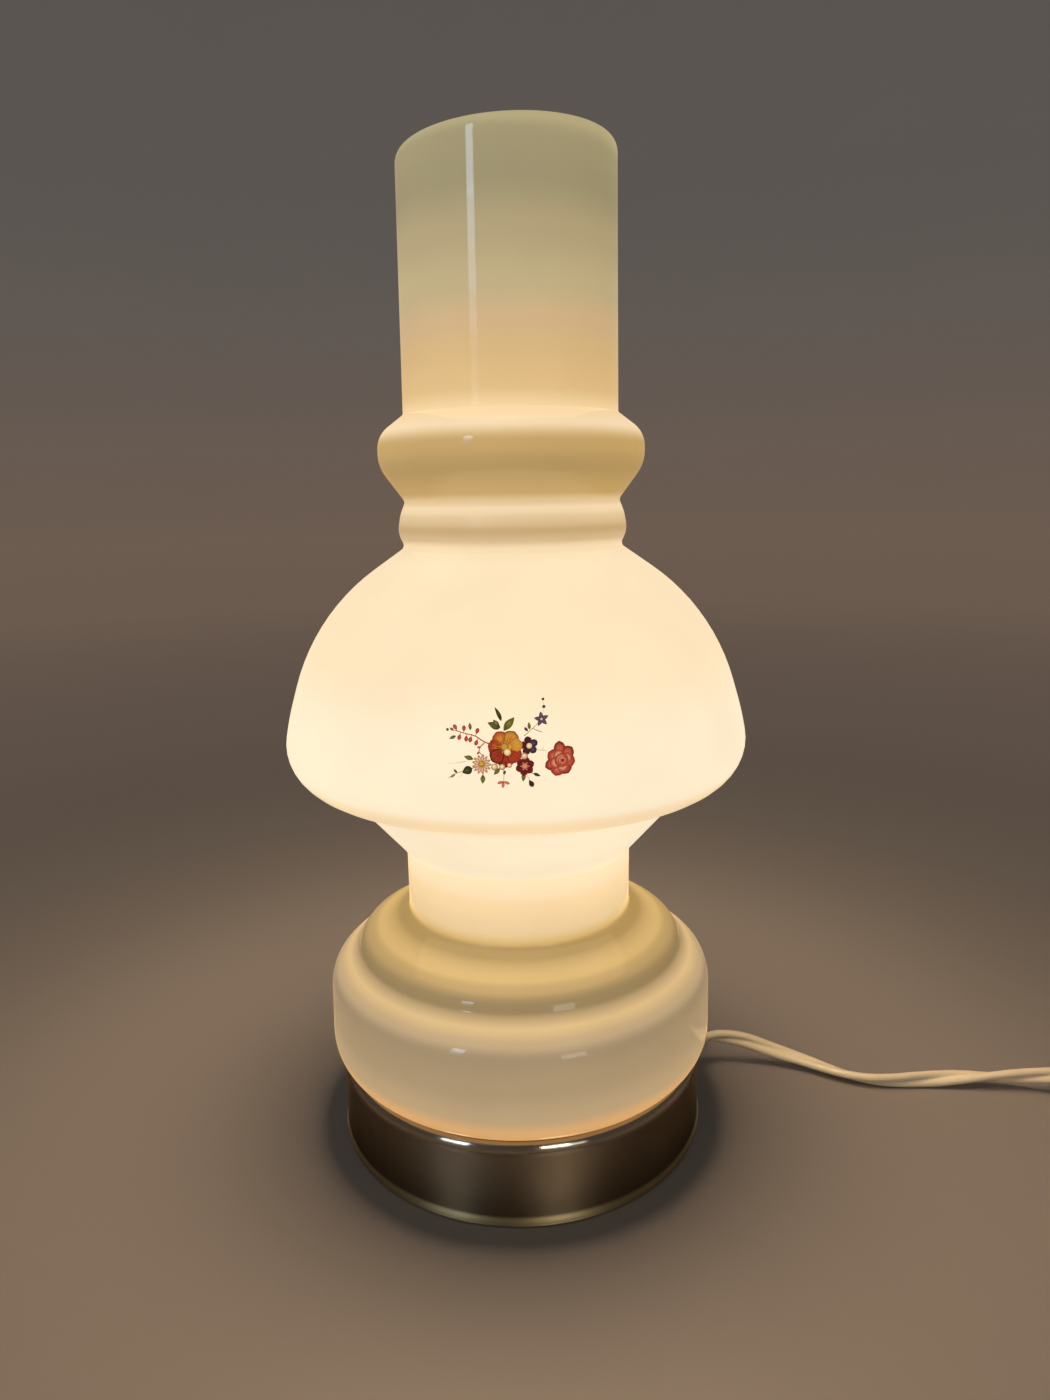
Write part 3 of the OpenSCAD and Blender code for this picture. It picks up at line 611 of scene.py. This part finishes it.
loop, n_out = glass_loop(shade_line, 0.9, (2.0, 2.8))
shade = lathe("shade_glass", loop, SEG, shift=rim_shift)
set_glow(shade, SHADE_GLOW)
finish_piece(shade, "shade", "opal_glass", "shade")
loop, n_out = glass_loop(low_line, 0.8)
body = lathe("body_glass", loop, SEG)
set_glow(body, LOW_GLOW)
finish_piece(body, "root", "opal_glass", *[n for n in ("lower_glass", "neck_glass") if n in NODES])

for g in (shade, body, NODES["bulb_glass"], NODES["bulb_filament"]):
    g.visible_diffuse = False

# ---------------------------------------------------------------- printed spray of flowers
INK = {"rust": (150, 46, 24), "brick": (178, 66, 36), "orange": (208, 118, 42), "gold": (222, 168, 62), "maroon": (86, 18, 18), "wine": (128, 30, 34),
       "plum": (62, 42, 52), "violet": (98, 82, 108), "pine": (50, 50, 22), "olive": (104, 96, 32), "leaf": (166, 152, 74), "coral": (200, 98, 70),
       "blush": (238, 164, 126), "cherry": (150, 44, 40), "cream": (250, 224, 178), "pearl": (255, 240, 212), "twig": (118, 88, 54)}
line = spaced(rounded(shade_line, 24), 0.4)
side = [(p, (line[i + 1] - line[i - 1]).normalized()) for i, p in enumerate(line[:-1]) if i and 122 < p.y < 190 and p.x > 50]
zero = min(range(len(side)), key=lambda i: abs(side[i][0].y - 146))
run_len = [0.0]
for a, b in zip(side, side[1:]):
    run_len.append(run_len[-1] + (b[0] - a[0]).length)
run_len = [v - run_len[zero] for v in run_len]
ink_v, ink_f, ink_c = [], [], []


def on_dome(x, y, lift):
    """Point on the front of the dome, x to the right of and y up from the middle of the spray, lifted off the glass."""
    i = max(0, min(len(run_len) - 2, sum(1 for v in run_len if v <= y) - 1))
    t = (y - run_len[i]) / (run_len[i + 1] - run_len[i])
    p = side[i][0] + (side[i + 1][0] - side[i][0]) * t
    d = side[i][1]
    n = Vector((d.y, -d.x))
    a = -math.pi / 2 - 0.040 + x / p.x
    q = p + n * lift
    return (q.x * math.cos(a) * MM, q.x * math.sin(a) * MM, q.y * MM)


def tone(name, k=1.0):
    return tuple(c * k for c in srgb(*INK[name]))


def blot(outline, mid, tones, layer):
    """Thin raised patch of ink with its colour running from the edge to the point mid."""
    top, n, base = 0.05 + 0.012 * layer, len(outline), len(ink_v)
    rings = [1.0, 0.9, 0.62, 0.32]
    cols = [Vector(tone(*t) if isinstance(t, tuple) else tone(t)) for t in tones]

    def shade_of(t):
        f = (1 - t) * (len(cols) - 1)
        i = min(len(cols) - 2, int(f))
        return cols[i] + (cols[i + 1] - cols[i]) * (f - i)

    for j, t in enumerate([None] + rings):
        for x, y in outline:
            k = 1.0 if t is None else t
            px, py = mid[0] + (x - mid[0]) * k, mid[1] + (y - mid[1]) * k
            ink_v.append(on_dome(px, py, -0.03 if t is None else top - (0.015 if j == 1 else 0)))
            ink_c.append((*shade_of(k), 1))
    ink_v.append(on_dome(*mid, top))
    ink_c.append((*cols[-1], 1))
    for j in range(len(rings)):
        for k in range(n):
            k2 = (k + 1) % n
            a, b = base + j * n, base + (j + 1) * n
            ink_f.append((a + k, a + k2, b + k2, b + k))
    last = base + len(rings) * n
    for k in range(n):
        ink_f.append((last + k, last + (k + 1) % n, base + (len(rings) + 1) * n))
    ink_f.append(tuple(base + k for k in reversed(range(n))))


def petal(x, y, ang, length, width, tones, layer, fat=1.0, soft=0.7, bend=0.0, n=9):
    """Petal or leaf that starts at x, y. fat moves its widest place outwards, soft rounds its ends."""
    a = math.radians(ang)
    left, right = [], []
    for k in range(n + 1):
        t = k / n
        w = width / 2 * max(0.02, math.sin(math.pi * t ** fat)) ** soft
        u, v = length * t, bend * length * t * t
        left.append((u, v + w))
        right.append((u, v - w))
    pts = right + left[::-1]
    pts = [(x + u * math.cos(a) - v * math.sin(a), y + u * math.sin(a) + v * math.cos(a)) for u, v in pts]
    um, vm = length * 0.55, bend * length * 0.3
    blot(pts, (x + um * math.cos(a) - vm * math.sin(a), y + um * math.sin(a) + vm * math.cos(a)), tones, layer)


def disc(x, y, r, tones, layer, stretch=1.0, n=14):
    blot([(x + r * math.cos(2 * math.pi * k / n), y + r * stretch * math.sin(2 * math.pi * k / n)) for k in range(n)], (x - 0.2 * r, y + 0.2 * r), tones, layer)


def stroke(points, w0, w1, name, layer):
    """Tapering line."""
    p = [Vector(q) for q in points]
    p = [p[0] * 2 - p[1]] + p + [p[-1] * 2 - p[-2]]
    fine = []
    for i in range(1, len(p) - 2):
        a, b, c, d = p[i - 1:i + 3]
        for k in range(5):
            t = k / 5
            fine.append(0.5 * (2 * b + (c - a) * t + (2 * a - 5 * b + 4 * c - d) * t * t + (3 * b - a - 3 * c + d) * t ** 3))
    fine.append(p[-2])
    n, base, top = len(fine), len(ink_v), 0.05 + 0.012 * layer
    for i, q in enumerate(fine):
        d = (fine[min(i + 1, n - 1)] - fine[max(i - 1, 0)]).normalized()
        s_ = Vector((-d.y, d.x)) * (w0 + (w1 - w0) * i / (n - 1)) / 2
        for e, h in ((s_, top), (s_, -0.03), (-s_, -0.03), (-s_, top)):
            ink_v.append(on_dome(q.x + e.x, q.y + e.y, h))
            ink_c.append((*tone(name), 1))
    for i in range(n - 1):
        a, b = base + 4 * i, base + 4 * (i + 1)
        for k in range(4):
            k2 = (k + 1) % 4
            ink_f.append((a + k, b + k, b + k2, a + k2))
    ink_f.append((base, base + 1, base + 2, base + 3))
    e = base + 4 * (n - 1)
    ink_f.append((e + 3, e + 2, e + 1, e))


def leaf(x, y, ang, length, width, dark, light, layer, bend=0.0):
    petal(x, y, ang, length, width, (dark, dark, light), layer, 0.9, 1.0, bend)
    a = math.radians(ang)
    rib = [(x + u * length * math.cos(a) - bend * length * u * u * math.sin(a), y + u * length * math.sin(a) + bend * length * u * u * math.cos(a)) for u in (0.0, 0.35, 0.7, 0.95)]
    stroke(rib, 0.12, 0.04, "pine", layer + 1)


# sprigs and leaves behind
stroke([(-3.6, 1.0), (-5.6, 1.9), (-7.6, 3.1), (-10.2, 3.7), (-12.8, 4.4)], 0.34, 0.20, "brick", 0)
for x, y, a in ((-6.8, 2.6, 250), (-7.4, 3.2, 70), (-8.4, 3.4, 255), (-9.6, 3.6, 262), (-10.4, 3.7, 88), (-11.2, 3.9, 255), (-12.0, 4.1, 120)):
    stroke([(x, y), (x + 0.5 * math.cos(math.radians(a)), y + 0.5 * math.sin(math.radians(a)))], 0.14, 0.12, "twig", 0)
    petal(x + 0.4 * math.cos(math.radians(a)), y + 0.4 * math.sin(math.radians(a)), a, 1.6, 1.0, ("cherry", "brick", "coral"), 1, 1.3)
petal(-12.9, 4.3, 150, 1.2, 0.7, ("twig", "rust", "brick"), 1, 1.2)
disc(-14.6, 4.5, 0.36, ("wine", "plum"), 1)
leaf(-8.7, 4.5, 96, 1.9, 0.85, "olive", "leaf", 1)
leaf(-12.4, 3.0, 205, 1.9, 0.85, "twig", "leaf", 1)
stroke([(-5.2, 1.4), (-6.2, 0.4), (-6.5, -0.9), (-5.2, -1.8)], 0.28, 0.18, "brick", 0)
petal(-6.2, 0.5, 200, 0.9, 0.5, ("cherry", "coral"), 1, 1.2)
petal(-6.5, -0.7, 235, 0.9, 0.5, ("cherry", "coral"), 1, 1.2)
stroke([(-6.2, -3.2), (-8.0, -2.6), (-10.2, -1.9)], 0.16, 0.08, "olive", 0)
leaf(-8.0, -2.7, 158, 2.4, 1.2, "olive", "leaf", 1, 0.10)
stroke([(-7.4, -4.6), (-9.6, -5.4), (-12.4, -6.3), (-14.6, -7.6)], 0.20, 0.07, "twig", 0)
petal(-8.3, -4.9, 205, 2.7, 2.1, ("pine", "pine", "olive"), 2, 0.8, 0.8)
petal(-12.1, -6.2, 135, 1.3, 0.6, ("pine", "olive"), 1, 0.9, 0.9)
petal(-12.6, -6.5, 215, 1.6, 0.6, ("olive", "leaf"), 1, 0.9, 0.9)
stroke([(-10.6, -6.0), (-11.4, -7.2)], 0.09, 0.05, "twig", 0)
stroke([(-14.4, -3.9), (-12.2, -3.7), (-9.8, -3.2)], 0.05, 0.09, "twig", 0)
stroke([(-5.8, -5.2), (-5.6, -6.6)], 0.14, 0.10, "olive", 0)
leaf(-5.6, -6.4, 268, 2.3, 1.2, "olive", "leaf", 1)
leaf(-1.4, -4.8, 228, 2.2, 1.1, "olive", "leaf", 0)
stroke([(-0.5, -4.6), (-0.4, -6.4), (-0.5, -8.2)], 0.13, 0.10, "olive", 0)
for a in (196, 262, 338):
    petal(-0.5, -8.1, a, 1.6, 0.75, ("brick", "coral", "blush"), 1, 1.2)
petal(-0.4, -6.4, 75, 1.1, 0.7, ("pine", "olive"), 1)
leaf(-0.4, 4.4, 55, 4.3, 1.9, "olive", "leaf", 0, -0.06)
petal(-1.2, 5.2, 164, 3.4, 1.8, ("pine", "olive", "olive"), 0, 0.75, 0.9, -0.10)
petal(-1.6, 5.4, 128, 2.3, 1.2, ("pine", "olive", "leaf"), 1, 0.8, 1.0)
petal(-1.0, 6.8, 106, 3.9, 1.0, ("pine", "pine", "olive"), 0, 0.8, 0.9, 0.16)
stroke([(4.6, 3.0), (6.2, 4.4), (8.0, 6.0), (9.0, 7.1)], 0.16, 0.10, "olive", 0)
stroke([(9.1, 7.6), (9.5, 9.8), (9.4, 12.0)], 0.07, 0.05, "leaf", 0)
disc(9.6, 10.2, 0.42, ("plum", "violet"), 1)
disc(9.4, 12.1, 0.36, ("plum", "violet"), 1)
leaf(6.0, 4.6, 96, 1.9, 0.8, "olive", "leaf", 1)
stroke([(6.6, 4.9), (7.8, 4.4), (9.0, 3.9)], 0.12, 0.16, "pine", 0)
petal(5.6, 4.2, 132, 1.3, 0.75, ("plum", "violet"), 1, 1.2)
stroke([(7.6, -0.4), (9.0, -0.6), (10.4, -0.8)], 0.10, 0.06, "twig", 0)
stroke([(9.2, -0.6), (9.5, 0.4)], 0.07, 0.04, "twig", 0)
stroke([(5.6, -5.8), (7.2, -6.4)], 0.14, 0.10, "olive", 0)
leaf(6.8, -6.2, 338, 2.0, 0.8, "pine", "olive", 1)
leaf(4.6, -6.0, 262, 2.2, 1.1, "olive", "leaf", 1)
stroke([(5.2, -6.4), (6.0, -8.0)], 0.14, 0.10, "leaf", 0)
petal(5.8, -7.8, 300, 2.0, 1.3, ("plum", "maroon", "plum"), 1, 1.4)

# five-pointed blue flower
for k in range(5):
    petal(9.0, 7.1, 90 + 72 * k + 8, 1.9, 1.05, ("plum", "violet", "violet"), 2, 0.8, 0.9)
disc(9.0, 7.1, 0.32, ("gold", "cream"), 4)

# plum flower and dark red flower
for k, a in enumerate((100, 28, 172, 316, 244)):
    petal(5.8, 0.6, a, 2.4, 1.9, ("plum", "plum", "violet") if k in (1, 3) else ("plum", "maroon", "plum"), 2 + k % 2, 1.5, 0.7)
disc(5.9, 0.6, 0.72, ("gold", "cream", "pearl"), 5)
for k in range(6):
    petal(4.8, -4.4, 60 * k + 20, 2.4, 1.9, ("maroon", "wine", "maroon"), 3 + k % 2, 1.5, 0.7)
disc(4.8, -4.4, 0.82, ("wine", "blush", "coral"), 6)
for k in range(6):
    disc(4.8 + 0.95 * math.cos(math.radians(60 * k)), -4.4 + 0.95 * math.sin(math.radians(60 * k)), 0.13, ("gold", "cream"), 6, 1.0, 8)

# white star-shaped flower
for k in range(13):
    petal(-5.9, -3.9, 360 / 13 * k, 2.5, 0.74, ("twig", "blush", "cream"), 2 + k % 2, 1.4, 0.7)
disc(-5.9, -3.8, 0.78, ("olive", "gold", "gold"), 5)

# large flower
for k, (a, l, w, tones) in enumerate(((118, 4.7, 3.8, ("rust", "orange", "gold")), (62, 4.8, 4.0, ("rust", "gold", "orange")), (18, 4.4, 3.7, ("orange", "gold", "gold")),
                                      (170, 4.4, 4.0, ("rust", "brick", "orange")), (222, 4.6, 4.0, ("maroon", "brick", "rust")), (322, 4.6, 4.0, ("rust", "brick", "brick")),
                                      (270, 4.7, 4.2, ("maroon", "rust", "brick")))):
    petal(0, 0, a, l, w, tones, 3 + k % 3, 1.7, 0.6)
    for d in (-14, 0, 14):
        r0, r1, b = 1.5, l * (0.86 - abs(d) * 0.006), math.radians(a + d)
        stroke([(r0 * math.cos(b), r0 * math.sin(b)), (r1 * math.cos(b), r1 * math.sin(b))], 0.16, 0.05, "rust" if k < 3 else "maroon", 6)
for k in range(9):
    b = math.radians(40 * k + 10)
    stroke([(-0.2 + 0.5 * math.cos(b), 0.3 + 0.5 * math.sin(b)), (-0.2 + 1.6 * math.cos(b), 0.3 + 1.5 * math.sin(b))], 0.10, 0.16, "olive" if k % 2 else "gold", 7)
disc(-0.2, 0.4, 0.95, ("olive", "gold", "leaf"), 8)
disc(0.5, -0.9, 0.88, ("gold", "cream", "pearl"), 9)

# pearls at the foot of the large flower
for x, y, r in ((4.7, -1.9, 0.85), (-2.7, -4.5, 0.85), (-0.8, -4.5, 0.78), (1.0, -4.1, 0.62)):
    disc(x, y, r, ("olive", "blush", "cream", "pearl"), 7)

# rose
RX, RY = 13.7, -3.2
for k, (a, l, w) in enumerate(((95, 4.7, 2.9), (148, 3.7, 3.2), (203, 4.2, 2.8), (250, 4.1, 3.4), (300, 3.9, 3.3), (350, 3.7, 3.2), (45, 4.2, 3.2))):
    petal(RX, RY, a, l, w, ("cherry", "brick", "coral", "blush") if k % 2 else ("maroon", "brick", "coral", "coral"), 2 + k % 2, 1.6, 0.6)
for k, (a, l, w) in enumerate(((120, 2.9, 2.7), (200, 3.0, 2.9), (280, 3.0, 2.9), (20, 2.8, 2.6))):
    petal(RX + 0.2, RY - 0.1, a, l, w, ("cherry", "coral", "blush", "coral"), 4 + k % 2, 1.4, 0.6)
disc(RX + 0.3, RY - 0.1, 1.75, ("brick", "coral", "blush", "coral"), 6)
for r0, a0, a1 in ((1.7, 20, 250), (1.3, 190, 430), (0.9, 20, 260), (0.5, 120, 420)):
    stroke([(RX + 0.3 + r0 * math.cos(math.radians(a0 + (a1 - a0) * k / 7)), RY - 0.1 + 0.92 * r0 * math.sin(math.radians(a0 + (a1 - a0) * k / 7))) for k in range(8)], 0.10, 0.26, "cherry", 7)
disc(RX + 0.4, RY - 0.1, 0.34, ("cherry", "maroon"), 8)

spray = new_object("flower_print", ink_v, ink_f, False)
at = spray.data.attributes.new("ink", "FLOAT_COLOR", "POINT")
at.data.foreach_set("color", [c for v in ink_c for c in v])
ink_mat = material("print_ink", (0.5, 0.5, 0.5), 0.30, 0.0, 0.02, 200, 0.06)
nt = ink_mat.node_tree
an = nt.nodes.new("ShaderNodeAttribute")
an.attribute_name = "ink"
nt.links.new(an.outputs["Color"], nt.nodes["Principled BSDF"].inputs["Base Color"])
nt.links.new(an.outputs["Color"], nt.nodes["Principled BSDF"].inputs["Emission Color"])
nt.nodes["Principled BSDF"].inputs["Emission Strength"].default_value = 0.75
spray.data.materials.append(ink_mat)
finish_piece(spray, "shade", "opal_glass")

# ---------------------------------------------------------------- foot
R = 60.0
ring = [(R - 0.6, 0.6), (R + 0.2, 0.6)] + [(R + 0.05 + 0.55 * math.sin(math.pi * k / 10), 0.7 + 2.5 * k / 10) for k in range(11)] + [(R, 3.4)]
ring += [(R - 1.9 + 1.9 * math.cos(math.pi * k / 24), 24.1 + 2.7 * math.sin(math.pi * k / 24)) for k in range(13)]
ring += [(R - 1.9 - 0.8 * math.sin(math.pi * k / 12), 25.8 + math.cos(math.pi * k / 12)) for k in range(1, 7)]
ring += [(R - 2.7, 23.0), (5.3, 23.0), (5.3, 21.8), (R - 1.2, 21.8), (R - 1.2, 3.4), (R - 0.6, 3.4)]
foot = lathe("foot_ring", spaced([Vector(p) for p in ring], 4.0), 192)
finish_piece(foot, "root", "foot_metal", "base_ring")

# ---------------------------------------------------------------- stage and light
floor_mat = material("floor", (0.37, 0.345, 0.315), 0.55, 0.0, 0.02, 3, 0.05)
# painted light: the sweep glows a little, more with height, standing in for light on the backdrop
nt = floor_mat.node_tree
tc, sp, up = nt.nodes.new("ShaderNodeTexCoord"), nt.nodes.new("ShaderNodeSeparateXYZ"), nt.nodes.new("ShaderNodeMapRange")
up.interpolation_type = "SMOOTHSTEP"
up.inputs["From Min"].default_value, up.inputs["From Max"].default_value, up.inputs["To Max"].default_value = -0.2, 0.9, 0.062
nt.links.new(tc.outputs["Object"], sp.inputs["Vector"])
nt.links.new(sp.outputs["Z"], up.inputs["Value"])
# and has a soft warm light far out, all round
far, part, dist, warm, add = (nt.nodes.new("ShaderNode" + k) for k in ("VectorMath", "MapRange", "ValToRGB", "VectorMath", "VectorMath"))
far.operation, warm.operation, add.operation = "LENGTH", "MULTIPLY", "MULTIPLY_ADD"
part.inputs["From Max"].default_value = 3.0
e = dist.color_ramp.elements
e[0].position, e[1].position = 0.08, 1.0
e[0].color = e[1].color = (0, 0, 0, 1)
for d, v in ((0.6, 0.05), (1.0, 0.07), (1.6, 0.095), (2.1, 0.10), (2.45, 0.07), (2.85, 0.01)):
    e.new(d / 3).color = (v, v, v, 1)
warm.inputs[1].default_value = (1.0, 0.64, 0.43)
add.inputs[1].default_value = (1.0, 0.95, 0.92)
nt.links.new(tc.outputs["Object"], far.inputs[0])
nt.links.new(far.outputs["Value"], part.inputs["Value"])
nt.links.new(part.outputs["Result"], dist.inputs["Fac"])
nt.links.new(dist.outputs["Color"], warm.inputs[0])
nt.links.new(up.outputs["Result"], add.inputs[0])
nt.links.new(warm.outputs["Vector"], add.inputs[2])
nt.links.new(add.outputs["Vector"], nt.nodes["Principled BSDF"].inputs["Emission Color"])
nt.nodes["Principled BSDF"].inputs["Emission Strength"].default_value = 1.0
prof, seg = [], 96
verts, faces = [(0, 0, 0)], []
radii = [0.15, 0.4, 0.8, 1.2, 1.6]
prof = [(r, 0.0) for r in radii] + [(1.6 + 1.2 * math.sin(math.radians(a)), 1.2 - 1.2 * math.cos(math.radians(a))) for a in range(10, 91, 10)] + [(2.8, 4.5)]
for r, z in prof:
    for k in range(seg):
        a = 2 * math.pi * k / seg
        verts.append((r * math.cos(a), r * math.sin(a), z))
for k in range(seg):
    faces.append((0, 1 + k, 1 + (k + 1) % seg))
for i in range(len(prof) - 1):
    for k in range(seg):
        a, b = 1 + i * seg, 1 + (i + 1) * seg
        faces.append((a + k, b + k, b + (k + 1) % seg, a + (k + 1) % seg))
floor = new_object("floor", verts, faces)
floor.data.materials.append(floor_mat)

world = bpy.data.worlds.new("world")
scene.world = world
world.use_nodes = True
world.node_tree.nodes["Background"].inputs["Color"].default_value = (0.75, 0.80, 0.90, 1)
world.node_tree.nodes["Background"].inputs["Strength"].default_value = 0.02


def area(name, loc, target, size, power, color, size_y=None):
    ld = bpy.data.lights.new(name, "AREA")
    ld.energy, ld.color, ld.size = power, color, size
    if size_y:
        ld.shape, ld.size_y = "RECTANGLE", size_y
    ob = bpy.data.objects.new(name, ld)
    ob.location = loc
    ob.rotation_euler = (Vector(target) - Vector(loc)).to_track_quat("-Z", "Y").to_euler()
    ob.visible_camera = False
    scene.collection.objects.link(ob)
    return ob


def group(name, *objs, state="EXCLUDE"):
    """Collection for light linking that leaves these objects out, or takes only these."""
    c = bpy.data.collections.new(name)
    for o in objs:
        c.objects.link(o)
    for link in c.collection_objects:
        link.light_linking.link_state = state
    return c


area("soft_top", (-0.6, -0.5, 1.8), (0, 0, 0.1), 1.6, 1.0, (0.92, 0.96, 1.0))
# a tall window on the left, brighter above, and a small one on the right
off_floor = group("window_lights_not", floor)
for k, (z, tall, power) in enumerate(((0.77, 0.18, 0.56), (0.64, 0.08, 0.19), (0.57, 0.06, 0.10), (0.51, 0.06, 0.055), (0.405, 0.15, 0.07))):
    area("window_left_%d" % k, (-0.77, -1.06, z), (0, 0, z - 0.4), 0.17, power, (0.62, 0.79, 1.0), tall).light_linking.receiver_collection = off_floor
right = area("window_right", (0.57, -1.11, 0.30), (0, 0, 0.1), 0.30, 0.6, (1.0, 0.95, 0.88), 0.3)
right.light_linking.receiver_collection = group("right_lights_not", shade, spray, floor)
# soft lights for the polished foot alone, two in front and two behind
on_foot = group("foot_only", foot, state="INCLUDE")
for name, loc, power, color in (("foot_left", (-0.83, -1.01, 0.55), 2.6, (0.80, 0.92, 1.0)), ("foot_right", (0.38, -1.19, 0.50), 3.4, (1.0, 0.93, 0.82)),
                               ("foot_back_a", (-0.62, 1.07, 0.50), 1.2, (1.0, 0.95, 0.88)), ("foot_back_b", (0.62, 1.07, 0.50), 1.2, (0.88, 0.95, 1.0))):
    area(name, loc, (0, 0, 0), 0.34, power, color, 0.4).light_linking.receiver_collection = on_foot
pl = bpy.data.lights.new("lamp_light", "POINT")
pl.energy, pl.color, pl.shadow_soft_size = 3.3, (1.0, 0.70, 0.45), 0.06
po = bpy.data.objects.new("lamp_light", pl)
po.location = (0, 0, 0.15)
po.visible_camera = False
scene.collection.objects.link(po)
# the lamp's own light falls on what stands round the glass; the glass itself carries its glow
po.light_linking.receiver_collection = group("lamp_lights_not", shade, body, spray, NODES["bulb_glass"])
po.light_linking.blocker_collection = group("lamp_passes", shade, spray)
# and what the lower glass sends down on its flex
gl_ = bpy.data.lights.new("glass_light", "POINT")
gl_.energy, gl_.color, gl_.shadow_soft_size = 0.2, (1.0, 0.76, 0.50), 0.04
go = bpy.data.objects.new("glass_light", gl_)
go.location = (0.03, -0.04, 0.12)
go.visible_camera = False
scene.collection.objects.link(go)
go.light_linking.receiver_collection = group("flex_only", flex, state="INCLUDE")
go.light_linking.blocker_collection = group("glass_passes", shade, spray, body)
scene.view_settings.view_transform = "Standard"
